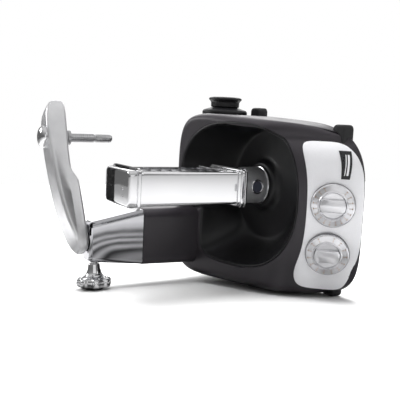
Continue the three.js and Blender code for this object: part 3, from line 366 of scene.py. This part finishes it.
# Corner feet. Four moulded rubber blocks pushed on to the lower corners; two of them
# are what the machine lies on.
rubber, nodes, links, shader = finish_of("rubber", (0.012, 0.012, 0.013), 0.6, specular=0.4)
links.new(spread(nodes, links, grain(nodes, links, 80, 4), 0.5, 0.7), shader.inputs["Roughness"])
links.new(bumped(nodes, links, grain(nodes, links, 1800, 3), 0.3, 0.0002), shader.inputs["Normal"])
for name, y, side, reach in (("foot_front_right", 50, 1, 126), ("foot_front_left", 50, -1, 126),
                             ("foot_rear_right", 265, 1, 147), ("foot_rear_left", 265, -1, 147)):
    rings = []
    for h, grow in ((-5, -3), (-4.7, -1.5), (-3.5, -0.3), (-2, 0), (9.5, 0), (12.4, -0.6),
                    (13.6, -1.8), (14, -3.4)):
        block = rounded_block(y, side * (reach - 17), 13 + grow, 17 + grow, 7 + grow * 0.8)
        rings.append([seat(h, a, b) for a, b in block])
    foot = skin("corner_" + name, rings, "machine")
    foot.data.materials.append(rubber)
    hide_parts(name)

# Control panel. A pressed silver plate, waisted between its rounded ends, laid into the
# slanted front; its edge stands just proud of the housing.
PANEL_Z0, PANEL_Z1, PANEL_SINK, PANEL_T = -112, 100, -0.8, 2.2
PANEL_TOP = PANEL_SINK + PANEL_T


def panel_point(z, s, lift):
    y = front_bow(z) + s
    slope = top_height(y + 0.5, z) - top_height(y - 0.5, z)
    side = top_height(y, z + 0.5) - top_height(y, z - 0.5)
    out = Vector((1, -slope, -side)).normalized()
    return seat(top_height(y, z) + out.x * lift, y + out.y * lift, z + out.z * lift)


def panel_ring(t):
    z = (PANEL_Z0 + PANEL_Z1) / 2 + (PANEL_Z1 - PANEL_Z0) / 2 * t
    fill = (1 - abs(t) ** 5) ** 0.2
    low = -1.2 + 27 * (1 - fill)
    high = low + (52.2 + 5 * ((z - 5) / 100) ** 2) * fill
    edge = min(1.2, (high - low) / 4)
    ring = [panel_point(z, low, PANEL_SINK), panel_point(z, low, PANEL_TOP - 0.8),
            panel_point(z, low + 0.25 * edge, PANEL_TOP - 0.25)]
    for k in range(13):
        ring.append(panel_point(z, low + edge + (high - low - 2 * edge) * k / 12, PANEL_TOP))
    ring += [panel_point(z, high - 0.25 * edge, PANEL_TOP - 0.25),
             panel_point(z, high, PANEL_TOP - 0.8), panel_point(z, high, PANEL_SINK)]
    return ring


panel_steps = [math.sin(math.pi / 2 * k / 40) for k in range(-40, 41)]
panel = skin("front_panel", [panel_ring(t * 0.9995) for t in panel_steps], "machine", sharp=40)
silver, nodes, links, shader = finish_of("silver_paint", (0.8, 0.8, 0.82), 0.38, 0.45,
                                         coat=0.2, coat_rough=0.25)
fleck = grain(nodes, links, 2200, 2)
links.new(two_tone(nodes, links, fleck, (0.74, 0.74, 0.765), (0.86, 0.86, 0.88)),
          shader.inputs["Base Color"])
links.new(spread(nodes, links, grain(nodes, links, 50, 3), 0.33, 0.4), shader.inputs["Roughness"])
links.new(bumped(nodes, links, fleck, 0.06, 0.0001), shader.inputs["Normal"])
panel.data.materials.append(silver)
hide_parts("control_panel")

# Badge. A small tapered dark plate stuck to the panel, with two plain bars in place
# of a name.
def badge_ring(k, inset, low, high):
    z = 50 + inset + (38 - 2 * inset) * k
    s0, s1 = 12.3 - 7 * k + inset, 20.2 - 3.5 * k - inset
    return [panel_point(z, s0, low), panel_point(z, s1, low), panel_point(z, s1, high),
            panel_point(z, s0, high)]


badge = skin("badge", [badge_ring(k / 8, 0, PANEL_TOP, PANEL_TOP + 1.2) for k in range(9)],
             "machine", sharp=30)
badge_face, nodes, links, shader = finish_of("badge_face", (0.02, 0.02, 0.022), 0.3, 0.3)
links.new(spread(nodes, links, grain(nodes, links, 300, 3), 0.25, 0.38), shader.inputs["Roughness"])
badge.data.materials.append(badge_face)
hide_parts("badge_plate")
bar_white, nodes, links, shader = finish_of("badge_bars", (0.7, 0.7, 0.72), 0.35)
links.new(spread(nodes, links, grain(nodes, links, 300, 3), 0.3, 0.42), shader.inputs["Roughness"])
for number, (start, end, low, high) in enumerate(((5, 33, 0.6, 2.4), (5, 33, 3.6, 4.4))):
    rings = []
    for k in range(9):
        z = 50 + start + (end - start) * k / 8
        base = 12.3 - 7 * (z - 50) / 38 + 1.5
        rings.append([panel_point(z, base + s, PANEL_TOP + lift) for s, lift in
                      ((low, 1.1), (high, 1.1), (high, 1.35), (low, 1.35))])
    bar = skin("badge_bar_%d" % number, rings, "machine", sharp=30)
    bar.data.materials.append(bar_white)

# Dials. Two clear-coated silver discs: a ring with marks round it, and a raised round
# grip with a bar left standing between two half-moon hollows.
def turned(name, profile, at, axis, body, around=72, sharp=35):
    """A piece turned about the line from `at`; profile is radius and distance along, in mm."""
    out = Vector(axis).normalized()
    side = out.orthogonal().normalized()
    other = out.cross(side)
    rings = []
    for r, h in profile:
        r = max(r, 0.001)
        rings.append([at + (out * h + (side * math.cos(a) + other * math.sin(a)) * r) / 1000
                      for a in (2 * math.pi * k / around for k in range(around))])
    return skin(name, rings, body, sharp=sharp)


def eased(points, radius, steps=4):
    """Rounds the corners of a line of [radius, distance] points."""
    out = [points[0]]
    for a, b, c in zip(points, points[1:], points[2:]):
        a, b, c = Vector(a), Vector(b), Vector(c)
        reach = min(radius, (a - b).length * 0.45, (c - b).length * 0.45)
        start, end = b + (a - b).normalized() * reach, b + (c - b).normalized() * reach
        for k in range(steps + 1):
            t = k / steps
            out.append(tuple(start * (1 - t) ** 2 + b * 2 * t * (1 - t) + end * t ** 2))
    out.append(points[-1])
    return out


def along(vector):
    """A direction of the machine, given as height, back and right."""
    return (Vector((-vector[0], 0, 0)) + back * vector[1] + right * vector[2]).normalized()


DIAL_R = 30.5
dial_silver, nodes, links, shader = finish_of("dial_silver", (0.78, 0.78, 0.8), 0.2, 0.7,
                                              coat=0.9, coat_rough=0.05)
ring_wave = grain(nodes, links, 500, 3)
links.new(spread(nodes, links, ring_wave, 0.16, 0.26), shader.inputs["Roughness"])
links.new(two_tone(nodes, links, grain(nodes, links, 60, 2), (0.66, 0.66, 0.685), (0.75, 0.75, 0.765)),
          shader.inputs["Base Color"])
dial_ink, nodes, links, shader = finish_of("dial_ink", (0.16, 0.1, 0.06), 0.45)
links.new(spread(nodes, links, grain(nodes, links, 200, 3), 0.35, 0.5), shader.inputs["Roughness"])
dial_edge, nodes, links, shader = finish_of("dial_edge", (0.2, 0.2, 0.21), 0.3, 0.6)
links.new(spread(nodes, links, grain(nodes, links, 200, 3), 0.25, 0.4), shader.inputs["Roughness"])
DIAL_BASE = PANEL_TOP + 2.1
for name, node, at, axis, marks in (
        ("speed", "speed_dial", seat(34.4, 26.2, 13), along((1, -FRONT_SLOPE, 0)), range(0, 300, 18)),
        ("timer", "timer_dial", seat(35, 30.5, -57), along((1, -FRONT_SLOPE, -0.23 * FRONT_SLOPE)),
         range(0, 330, 24))):
    body = node
    lo = DIAL_BASE
    disc = turned(name + "_dial_disc", eased([
        (0, lo), (DIAL_R - 1.5, lo), (DIAL_R, lo + 0.8), (DIAL_R, lo + 4.2), (DIAL_R - 1.2, lo + 5.4),
        (DIAL_R - 9.5, lo + 7.0), (DIAL_R - 10.5, lo + 8.6), (DIAL_R - 11.6, lo + 8.6),
        (DIAL_R - 12.6, lo + 6.2), (0, lo + 6.2)], 0.7), at, axis, body)
    disc.data.materials.append(dial_silver)
    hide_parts(node)
    out = axis.normalized()
    side = (right - out * right.dot(out)).normalized()
    up = out.cross(side)
    # the grip: a bar with a soft crown, wider at its ends, across the round hollow
    rings = []
    for k in range(25):
        x = -17.6 + 35.2 * k / 24
        half = min(9.2 + (x / 17.6) ** 2, math.sqrt(max(18.2 ** 2 - x * x, 0.5)))
        top = lo + 14 - 2.2 * (x / 17.6) ** 4
        section = eased([(-half, lo + 5.5), (-half * 0.94, top - 0.3), (0, top + 0.4),
                         (half * 0.94, top - 0.3), (half, lo + 5.5)], 1.2)
        rings.append([at + (up * x + side * w + out * h) / 1000 for w, h in section])
    grip = skin(name + "_dial_grip", rings, body, sharp=45)
    grip.data.materials.append(dial_silver)
    groove = turned(name + "_dial_seat", eased([
        (0, PANEL_TOP + 0.05), (DIAL_R + 0.9, PANEL_TOP + 0.05), (DIAL_R + 0.9, lo + 1.2),
        (0, lo + 1.2)], 0.3), at, axis, "machine")
    groove.data.materials.append(dial_edge)
    mark_mesh = []
    for degrees in marks:
        a = math.radians(degrees + 30)
        across = side * math.cos(a) + up * math.sin(a)
        cross = out.cross(across)
        for start, wide, far in ((22.2, 0.5, 25.0), (26.2, 1.1, 27.9)):
            ring = [at + (across * d + cross * w + out * (lo + 7.0 - (d - 21) * 0.19 + e)) / 1000
                    for d, w, e in ((start, -wide, 0.12), (far, -wide, 0.12), (far, wide, 0.12),
                                    (start, wide, 0.12))]
            mark_mesh.append(ring)
    mesh = bpy.data.meshes.new(name + "_dial_marks")
    mesh.from_pydata([tuple(p) for ring in mark_mesh for p in ring], [],
                     [tuple(range(4 * k, 4 * k + 4)) for k in range(len(mark_mesh))])
    marks_piece = bpy.data.objects.new(name + "_dial_marks", mesh)
    bpy.context.scene.collection.objects.link(marks_piece)
    marks_piece.data.materials.append(dial_ink)
    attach(marks_piece, body)

# Column cover. A chromed die-cast sleeve over the arm's post: it tapers from the pedestal
# to the pivot, with a narrow bevel round its outer end.
def cover_ring(h, grow, corner=9):
    t = (h - PEDESTAL_TOP) / (COVER_END - PEDESTAL_TOP)
    y0, y1 = COLUMN_Y - 25 + 9 * t, COLUMN_Y + 26 - 9 * t
    z0, z1 = COLUMN_Z - 39 + 7 * t, COLUMN_Z + 50 - 20 * t
    block = rounded_block((y0 + y1) / 2, (z0 + z1) / 2, (y1 - y0) / 2 + grow,
                          (z1 - z0) / 2 + grow, corner + grow)
    return [seat(h, y, z) for y, z in block]


cover = skin("column_sleeve", [
    cover_ring(218.2, -1.6), cover_ring(218.4, -0.4), cover_ring(219.2, 0), cover_ring(245, 0),
    cover_ring(270, 0), cover_ring(299.5, 0), cover_ring(300.2, -0.2), cover_ring(304, -2.6),
    cover_ring(304.5, -3.6), cover_ring(304.5, -9)], "machine", sharp=25)
chrome, nodes, links, shader = finish_of("chrome", (0.74, 0.74, 0.755), 0.06, 1.0)
links.new(spread(nodes, links, grain(nodes, links, 30, 4), 0.04, 0.09), shader.inputs["Roughness"])
links.new(two_tone(nodes, links, grain(nodes, links, 12, 2), (0.72, 0.72, 0.735),
                   (0.77, 0.77, 0.78)), shader.inputs["Base Color"])
links.new(bumped(nodes, links, grain(nodes, links, 18, 2), 0.04, 0.0006), shader.inputs["Normal"])
# A darker copy of the chrome for the sleeve alone: painted shade, so the sleeve reads darker than the
# other chrome parts.
sleeve_chrome_painted_dark, nodes, links, shader = finish_of("sleeve_chrome_painted_dark", (0.5, 0.5, 0.52), 0.06, 1.0)
links.new(spread(nodes, links, grain(nodes, links, 30, 4), 0.04, 0.09), shader.inputs["Roughness"])
links.new(two_tone(nodes, links, grain(nodes, links, 12, 2), (0.44, 0.44, 0.46),
                   (0.54, 0.54, 0.56)), shader.inputs["Base Color"])
links.new(bumped(nodes, links, grain(nodes, links, 14, 2, (0.3, 1, 1)), 0.1, 0.001),
          shader.inputs["Normal"])
cover.data.materials.append(sleeve_chrome_painted_dark)
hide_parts("column_cover")
collar = turned("pivot_ring", eased([(13, 304.8), (16, 304.8), (15, 306), (13, 306)], 0.2),
                seat(0, COLUMN_Y, COLUMN_Z), (-1, 0, 0), "machine")
collar.data.materials.append(black_plastic)
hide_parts("pivot_collar")

# Lock knob. A chromed star knob on a tapered stem, with a rubber pad under it that
# the machine stands on when it lies down.
pad_low, pad_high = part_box("foot_pad")
star_at = Vector(((pad_low.x + pad_high.x) / 2, (pad_low.y + pad_high.y) / 2, 0))
screw_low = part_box("lock_screw")[0]
STEM_TOP = screw_low.z * 1000 - 0.3
star_rings = []
for scale, z in ((0.4, 3.4), (0.78, 3.4), (0.86, 4.0), (0.95, 5.4), (1.0, 7.4), (1.0, 14), (0.975, 16.2),
                 (0.92, 17.8), (0.84, 18.6), (0.72, 19.4)):
    ring = []
    for k in range(168):
        a = 2 * math.pi * k / 168
        r = 25.0 + 2.5 * math.tanh(2.2 * math.cos(7 * a)) / math.tanh(2.2)
        ring.append(star_at + Vector((r * scale * math.cos(a), r * scale * math.sin(a), z)) / 1000)
    star_rings.append(ring)
star = skin("star_knob", star_rings, "lock", sharp=50)
stem = turned("star_stem", eased([
    (0, 18), (20, 18.4), (15.5, 21), (12.2, 25), (10.6, 31), (9.2, STEM_TOP - 1), (8.4, STEM_TOP),
    (0, STEM_TOP)], 2.5), star_at, (0, 0, 1), "lock")
for piece in (star, stem):
    piece.data.materials.append(chrome)
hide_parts("lock_knob")
pad = turned("star_pad", eased([(0, 0), (13, 0), (14, 1), (14, 2.6), (12.6, 3.4), (0, 3.4)], 0.6),
             star_at, (0, 0, 1), "lock")
pad.data.materials.append(rubber)
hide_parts("foot_pad")

# Arm. One curved aluminium casting, blasted and polished satin, with a round boss at its
# foot that turns on the post and a spindle through its upper end.
arm_lean = math.atan2(156.5, 93.3)
arm_sections = [
    (-18, 310.3, 318, 11), (-17.3, 308.6, 319.6, 13), (-15, 307.2, 321.5, 15.4),
    (-8, 306.4, 325, 19), (4, 306.3, 329.5, 22), (18, 306.3, 333.4, 22.4), (32, 306.3, 336.5, 22.5),
    (62, 306.3, 341, 22.5), (84, 306.4, 342.8, 22.2), (96, 307.2, 343.5, 22), (103, 309.8, 343.9, 22),
    (110, 313.6, 344.2, 22), (117, 316, 344.5, 22), (128, 316, 344.9, 21.8), (150, 315, 345.5, 21.5),
    (192, 311.5, 345.5, 20.5), (216, 309.5, 343, 19.5), (226, 308.9, 340.6, 18.4),
    (234, 308.4, 337.4, 16.8), (240, 308, 333.2, 14.6), (244, 308.2, 328.6, 12), (246, 308.6, 323, 9)]


def arm_point(along_arm, h, across):
    return seat(h, COLUMN_Y + math.cos(arm_lean) * along_arm + math.sin(arm_lean) * across,
                COLUMN_Z + math.sin(arm_lean) * along_arm - math.cos(arm_lean) * across)


arm_rings = []
for run, low, high, half in arm_sections:
    r = min(6, (high - low) / 2.3, half / 1.5)
    block = rounded_block(0, 0, half, (high - low) / 2, r, 8)
    arm_rings.append([arm_point(run, (low + high) / 2 + u, w) for w, u in block])
arm = skin("arm_body", arm_rings, "arm", sharp=60)
cast, nodes, links, shader = finish_of("cast_aluminium", (0.7, 0.7, 0.71), 0.34, 0.9)
links.new(two_tone(nodes, links, grain(nodes, links, 35, 4), (0.66, 0.66, 0.675),
                   (0.76, 0.76, 0.77)), shader.inputs["Base Color"])
links.new(spread(nodes, links, grain(nodes, links, 120, 5), 0.28, 0.4), shader.inputs["Roughness"])
links.new(bumped(nodes, links, grain(nodes, links, 900, 3), 0.1, 0.0002), shader.inputs["Normal"])
arm.data.materials.append(cast)
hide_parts("arm_casting")
spindle_at = seat(0, COLUMN_Y + math.cos(arm_lean) * 181, COLUMN_Z + math.sin(arm_lean) * 181)
spindle = turned("arm_pin", eased([
    (0, 230), (4, 230.2), (6.4, 231.8), (7.2, 235), (7.2, 259), (6.1, 259.5), (6.1, 262.5),
    (7.6, 263), (7.6, 303.6), (9.6, 304), (12.8, 304.4), (12.8, 309), (11.4, 310), (11.4, 313), (0, 313)],
    0.5), spindle_at, (-1, 0, 0), "arm")
steel, nodes, links, shader = finish_of("steel", (0.55, 0.55, 0.56), 0.28, 1.0)
links.new(spread(nodes, links, grain(nodes, links, 90, 4, (60, 1, 1)), 0.22, 0.38),
          shader.inputs["Roughness"])
links.new(two_tone(nodes, links, grain(nodes, links, 40, 3), (0.5, 0.5, 0.51), (0.6, 0.6, 0.61)),
          shader.inputs["Base Color"])
links.new(bumped(nodes, links, grain(nodes, links, 300, 2, (30, 1, 1)), 0.1, 0.0001),
          shader.inputs["Normal"])
spindle.data.materials.append(steel)
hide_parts("arm_spindle")
knob = turned("arm_cap", eased([
    (0, 343.5), (14, 343.5), (17.6, 345.7), (18, 348), (17.4, 350.5), (15.2, 353.1), (11, 355.1),
    (5, 356.1), (0, 356.4)], 1.6), spindle_at, (-1, 0, 0), "arm_knob")
knob.data.materials.append(chrome)
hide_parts("arm_knob")

# Outlet for other attachments. A black plastic collar on the machine's right side, and
# the flared cap that closes it.
outlet_at = seat(48, 307, 0)
flange = turned("outlet_collar", eased([
    (21.5, 120), (36, 120), (38.4, 131), (39, 137.6), (37, 140.6), (31, 142.6), (25.5, 144.4),
    (24, 145), (21.5, 144), (21.5, 120)], 1.2), outlet_at, right, "machine")
flange.data.materials.append(black_plastic)
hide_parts("outlet_flange")
lid = turned("outlet_cap", eased([
    (0, 140), (21, 140), (21, 145.2), (24.3, 146), (24.5, 153.6), (25.6, 155.6), (28.2, 158.2),
    (28.5, 160.4), (27.2, 161.8), (22, 163), (0, 163.1)], 1.0), outlet_at, right, "lid")
lid.data.materials.append(black_plastic)
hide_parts("outlet_lid")

# Cutter adapter. A satin zinc sleeve that fits over the drive, with a bright ring at its
# foot and a round release button in a bright eye.
drive_at = seat(0, DRIVE_Y, DRIVE_Z)
zinc, nodes, links, shader = finish_of("satin_metal", (0.62, 0.625, 0.64), 0.36, 0.85)
links.new(spread(nodes, links, grain(nodes, links, 120, 4), 0.3, 0.42), shader.inputs["Roughness"])
links.new(two_tone(nodes, links, grain(nodes, links, 900, 3), (0.58, 0.585, 0.6),
                   (0.68, 0.685, 0.7)), shader.inputs["Base Color"])
links.new(bumped(nodes, links, grain(nodes, links, 1100, 3), 0.12, 0.0001), shader.inputs["Normal"])
adapter = turned("cutter_sleeve", eased([
    (10, 58.6), (28.5, 58.6), (28.2, 75), (27.2, 100), (24.6, 107.6), (10, 107.6)], 0.8),
    drive_at, (-1, 0, 0), "cutter")
adapter.data.materials.append(zinc)
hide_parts("adapter_housing")
foot_ring = turned("cutter_sleeve_ring", eased([
    (20, 57.1), (30.1, 57.1), (30.1, 59.8), (28.3, 60.4), (20, 60.4)], 0.6), drive_at, (-1, 0, 0),
    "cutter")
button_at = seat(79, DRIVE_Y, DRIVE_Z)
eye = turned("button_eye", eased([
    (8.9, 24), (8.9, 28.6), (9.6, 29.4), (10.6, 29.2), (11.2, 28.2), (11.2, 24)], 0.3), button_at,
    -back, "cutter")
for piece in (foot_ring, eye):
    piece.data.materials.append(chrome)
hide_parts("adapter_ring")
button = turned("release_button", eased([
    (0, 20), (8.5, 20), (8.5, 28.2), (7.6, 29), (4, 29.2), (0, 29.2)], 0.5), button_at, -back,
    "button")
button_grey, nodes, links, shader = finish_of("button_grey", (0.035, 0.038, 0.055), 0.5, specular=0.3)
links.new(spread(nodes, links, grain(nodes, links, 300, 3), 0.45, 0.6), shader.inputs["Roughness"])
button.data.materials.append(button_grey)
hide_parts("lock_button")

# Cutter end housings. Deep-drawn steel boxes, chromed, each with a flange round its
# open side; the outer one has two small screws and a dark inlaid slot.
def end_ring(h, grow, corner=7):
    block = rounded_block(DRIVE_Y, DRIVE_Z, 46 + grow, 28 + grow, corner, 8)
    return [seat(h, y, z) for y, z in block]


right_cap = skin("cutter_inner_end", [
    end_ring(108, -6, 6), end_ring(108.2, -3.6, 6.4), end_ring(109.4, -1.6), end_ring(110.2, -0.6),
    end_ring(110.4, 0.6), end_ring(111, 1), end_ring(112.8, 1), end_ring(113.4, 0.6),
    end_ring(113.6, -1.4), end_ring(115.4, -1.4), end_ring(115.6, 0.6), end_ring(116.2, 1),
    end_ring(119.4, 1), end_ring(120, 0.6), end_ring(120.2, -1.5), end_ring(124, -1.6),
    end_ring(124, -8, 6)], "cutter", sharp=30)
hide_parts("cutter_right_cap")
left_cap = skin("cutter_outer_end", [
    end_ring(279, -8, 6), end_ring(279, -1.6), end_ring(282.8, -1.5), end_ring(283, 0.8),
    end_ring(283.6, 1.2), end_ring(286.8, 1.2), end_ring(287.4, 0.8), end_ring(287.6, -1.9),
    end_ring(295.6, -2.1, 8), end_ring(297.4, -2.5, 8), end_ring(298.6, -3.3, 7.6),
    end_ring(299.3, -4.4, 7), end_ring(299.5, -5.6, 6.4)], "cutter", sharp=30)
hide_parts("cutter_left_cap")
for piece in (right_cap, left_cap):
    piece.data.materials.append(chrome)
for number, up in enumerate((-1, -10.6)):
    screw = turned("cap_screw_%d" % number, eased([
        (0, 299.2), (2, 299.2), (2, 300.0), (1.2, 300.5), (0, 300.5)], 0.3),
        seat(0, DRIVE_Y - 22, DRIVE_Z + up), (-1, 0, 0), "cutter", around=24)
    screw.data.materials.append(steel)
slot_inlay = skin("cap_slot", [
    [seat(h, y, z) for y, z in rounded_block(DRIVE_Y + 24, DRIVE_Z, 8, 1.3, 1.2, 4)]
    for h in (299.2, 299.7)], "cutter")
slot_inlay.data.materials.append(black_plastic)

# Cutter covers. Two polished sheets folded over at their edges that close the cutter's
# front and back, and a flat strap that ties them over the top.
def folded(name, face, mouth_top, mouth_low, side):
    """A folded sheet; face is its outer plane, the mouths are how far its edges fold in."""
    rise, thick, bend = 24, 1.5, 4.5
    line = [(face + side * mouth_top, DRIVE_Z + rise), (face, DRIVE_Z + rise),
            (face, DRIVE_Z - rise), (face + side * mouth_low, DRIVE_Z - rise)]
    outer = eased(line, bend, 6)
    inner = eased([(line[0][0], line[0][1] - thick), (face + side * thick, line[0][1] - thick),
                   (face + side * thick, line[3][1] + thick), (line[3][0], line[3][1] + thick)],
                  bend - thick, 6)
    loop = outer + inner[::-1]
    hs = (124.3, 124.8, 160, 200, 240, 278.2, 278.7)
    made = skin(name, [[seat(h, y, z) for y, z in loop] for h in hs], "cutter", sharp=40)
    made.data.materials.append(chrome)
    return made


front_sheet = folded("cutter_front_sheet", DRIVE_Y - 42, 13, 16, 1)
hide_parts("front_cover")
rear_sheet = folded("cutter_rear_sheet", DRIVE_Y + 46, 17, 20, -1)
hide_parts("rear_cover")
strap = skin("cutter_strap", [
    [seat(h, y, DRIVE_Z + z) for h, z in eased([(133, 24.2), (133, 26), (143, 26), (143, 24.2)], 0.6)]
    for y in (DRIVE_Y - 39.5, DRIVE_Y - 39, DRIVE_Y, DRIVE_Y + 43, DRIVE_Y + 43.6)], "cutter")
strap.data.materials.append(chrome)
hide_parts("top_strap")

# Everything under the covers. Turned steel, brass gears, a green board and black moulded
# parts, each with the finish that its own slot names.
brass, nodes, links, shader = finish_of("brass", (0.62, 0.45, 0.2), 0.3, 1.0)
links.new(spread(nodes, links, grain(nodes, links, 200, 3), 0.25, 0.4), shader.inputs["Roughness"])
board_green, nodes, links, shader = finish_of("circuit_board", (0.02, 0.12, 0.05), 0.45)
links.new(two_tone(nodes, links, grain(nodes, links, 250, 2), (0.018, 0.1, 0.04),
                   (0.03, 0.15, 0.06)), shader.inputs["Base Color"])
copper, nodes, links, shader = finish_of("copper_winding", (0.45, 0.2, 0.1), 0.35, 0.9)
links.new(bumped(nodes, links, grain(nodes, links, 400, 2, (1, 1, 20)), 0.5, 0.0004),
          shader.inputs["Normal"])
slot_finish = {"charcoal_paint": charcoal, "black_plastic": black_plastic, "silver_paint": silver,
               "chrome": chrome, "cast_aluminium": cast, "satin_metal": zinc, "steel": steel,
               "dial_plastic": dial_silver, "rubber": rubber, "brass": brass,
               "circuit_board": board_green, "copper_winding": copper}
for part in frame["record"]["subparts"]:
    node = frame["nodes"][part["node"]]
    node.data.materials.clear()
    node.data.materials.append(slot_finish[part["material_slot"]])

# Studio. A pale floor that a painted glow runs out to white, a large soft light above and
# softer ones to the sides. Reflections alone see painted rings of light and dark on the floor, a
# dark board that is a painted reflection and a shaded room; they give the bright metal its dark lines.
def ramp_of(nodes, links, source, stops, blend="B_SPLINE"):
    """Greys along a value, as [value, grey] stops."""
    ramp = nodes.new("ShaderNodeValToRGB")
    ramp.color_ramp.interpolation = blend
    while len(ramp.color_ramp.elements) < len(stops):
        ramp.color_ramp.elements.new(0.5)
    for element, (value, grey) in zip(ramp.color_ramp.elements, stops):
        element.position = value
        element.color = (grey, grey, grey, 1)
    links.new(source, ramp.inputs["Fac"])
    return ramp.outputs["Color"]


floor_mesh = bpy.data.meshes.new("studio_floor")
floor_mesh.from_pydata([(-8, -8, 0), (8, -8, 0), (8, 8, 0), (-8, 8, 0)], [], [(0, 1, 2, 3)])
floor = bpy.data.objects.new("studio_floor", floor_mesh)
bpy.context.scene.collection.objects.link(floor)
white_floor, nodes, links, shader = finish_of("floor_white", (0.9, 0.9, 0.9), 0.6, specular=0.1)
links.new(spread(nodes, links, grain(nodes, links, 3, 2), 0.55, 0.65), shader.inputs["Roughness"])
place = nodes.new("ShaderNodeTexCoord")
distance = nodes.new("ShaderNodeVectorMath")
distance.operation = "LENGTH"
links.new(place.outputs["Object"], distance.inputs[0])
# Painted reflection: reflection rays see the floor in rings of dark and light round the middle, which
# give the bright metal its dark lines; the camera sees the plain pale floor.
ray = nodes.new("ShaderNodeLightPath")
floor_painted_reflection = nodes.new("ShaderNodeMix")
floor_painted_reflection.data_type = "RGBA"
links.new(ray.outputs["Is Glossy Ray"], floor_painted_reflection.inputs["Factor"])
floor_painted_reflection.inputs["A"].default_value = (0.9, 0.9, 0.9, 1)
links.new(ramp_of(nodes, links, distance.outputs["Value"], (
    (0.0, 0.25), (0.06, 0.5), (0.1, 0.04), (0.13, 0.5), (0.16, 0.04), (0.19, 0.5), (0.215, 0.04),
    (0.25, 0.4), (0.3, 0.08), (0.4, 0.5), (0.55, 0.72)), "EASE"),
    floor_painted_reflection.inputs["B"])
links.new(floor_painted_reflection.outputs["Result"], shader.inputs["Base Color"])
# Painted glow: for the camera the floor gives off light of its own, none near the middle and rising with
# distance, so the floor runs out to white.
lift = nodes.new("ShaderNodeMapRange")
lift.inputs["From Min"].default_value = 0.35
lift.inputs["From Max"].default_value = 1.1
lift.inputs["To Min"].default_value = 0.0
lift.inputs["To Max"].default_value = 1.0
links.new(distance.outputs["Value"], lift.inputs["Value"])
painted_glow_seen = nodes.new("ShaderNodeMath")
painted_glow_seen.operation = "MULTIPLY"
links.new(lift.outputs["Result"], painted_glow_seen.inputs[0])
links.new(ray.outputs["Is Camera Ray"], painted_glow_seen.inputs[1])
shader.inputs["Emission Color"].default_value = (1, 1, 1, 1)
links.new(painted_glow_seen.outputs["Value"], shader.inputs["Emission Strength"])
floor.data.materials.append(white_floor)


def soft_light(name, at, target, width, height, power_w):
    data = bpy.data.lights.new(name, "AREA")
    data.shape = "RECTANGLE"
    data.size, data.size_y = width, height
    data.energy = power_w
    lamp = bpy.data.objects.new(name, data)
    lamp.location = at
    lamp.rotation_mode = "QUATERNION"
    lamp.rotation_quaternion = (Vector(target) - Vector(at)).to_track_quat("-Z", "Y")
    bpy.context.scene.collection.objects.link(lamp)
    return lamp


middle = (0, 0, 0.15)
overhead = soft_light("overhead", (0.1, 0.25, 1.4), middle, 1.2, 1.2, 44)
overhead.visible_glossy = False
soft_light("front_right", (1.3, -1.3, 1.2), middle, 1.4, 1.2, 4)
soft_light("front", (-0.55, -2.1, 0.6), middle, 2.0, 1.1, 4.5)
soft_light("rear_left", (-1.3, 1.5, 1.1), middle, 0.8, 0.8, 9)
soft_light("rear", (1.0, 1.9, 1.4), middle, 1.8, 1.1, 13)


def board(name, corners):
    """A flat dark board that only shiny surfaces see: a painted dark reflection, not a part of the
    machine.
    """
    mesh = bpy.data.meshes.new(name)
    mesh.from_pydata(corners, [], [(0, 1, 2, 3)])
    made = bpy.data.objects.new(name, mesh)
    bpy.context.scene.collection.objects.link(made)
    made.visible_camera = False
    made.visible_shadow = False
    made.visible_diffuse = False
    dark, dark_nodes, dark_links, dark_shader = finish_of(name + "_black", (0.004, 0.004, 0.004), 0.9)
    dark_links.new(spread(dark_nodes, dark_links, grain(dark_nodes, dark_links, 20, 2), 0.85, 0.95),
                   dark_shader.inputs["Roughness"])
    made.data.materials.append(dark)


# A painted dark reflection on the left of the cutter's outer end cap.
board("cap_painted_reflection_board", [(-0.148, 0.05, 0.08), (-0.148, 0.1, 0.08), (-0.148, 0.1, 0.26),
                    (-0.148, 0.036, 0.26)])

world = bpy.data.worlds.new("studio_air")
bpy.context.scene.world = world
world.use_nodes = True
nodes, links = world.node_tree.nodes, world.node_tree.links
seen = nodes["Background"]
seen.inputs["Color"].default_value = (1, 1, 1, 1)
seen.inputs["Strength"].default_value = 1.0
unseen = nodes.new("ShaderNodeBackground")
unseen.inputs["Strength"].default_value = 0.8
direction = nodes.new("ShaderNodeTexCoord")
split = nodes.new("ShaderNodeSeparateXYZ")
links.new(direction.outputs["Generated"], split.inputs["Vector"])
links.new(ramp_of(nodes, links, split.outputs["Z"], (
    (0.0, 0.2), (0.1, 0.16), (0.25, 0.28), (0.4, 0.34), (0.6, 0.6), (0.9, 0.9))),
    unseen.inputs["Color"])
ray = nodes.new("ShaderNodeLightPath")
choose = nodes.new("ShaderNodeMixShader")
links.new(ray.outputs["Is Camera Ray"], choose.inputs["Fac"])
links.new(unseen.outputs["Background"], choose.inputs[1])
links.new(seen.outputs["Background"], choose.inputs[2])
links.new(choose.outputs["Shader"], nodes["World Output"].inputs["Surface"])
bpy.context.scene.view_settings.view_transform = "Standard"
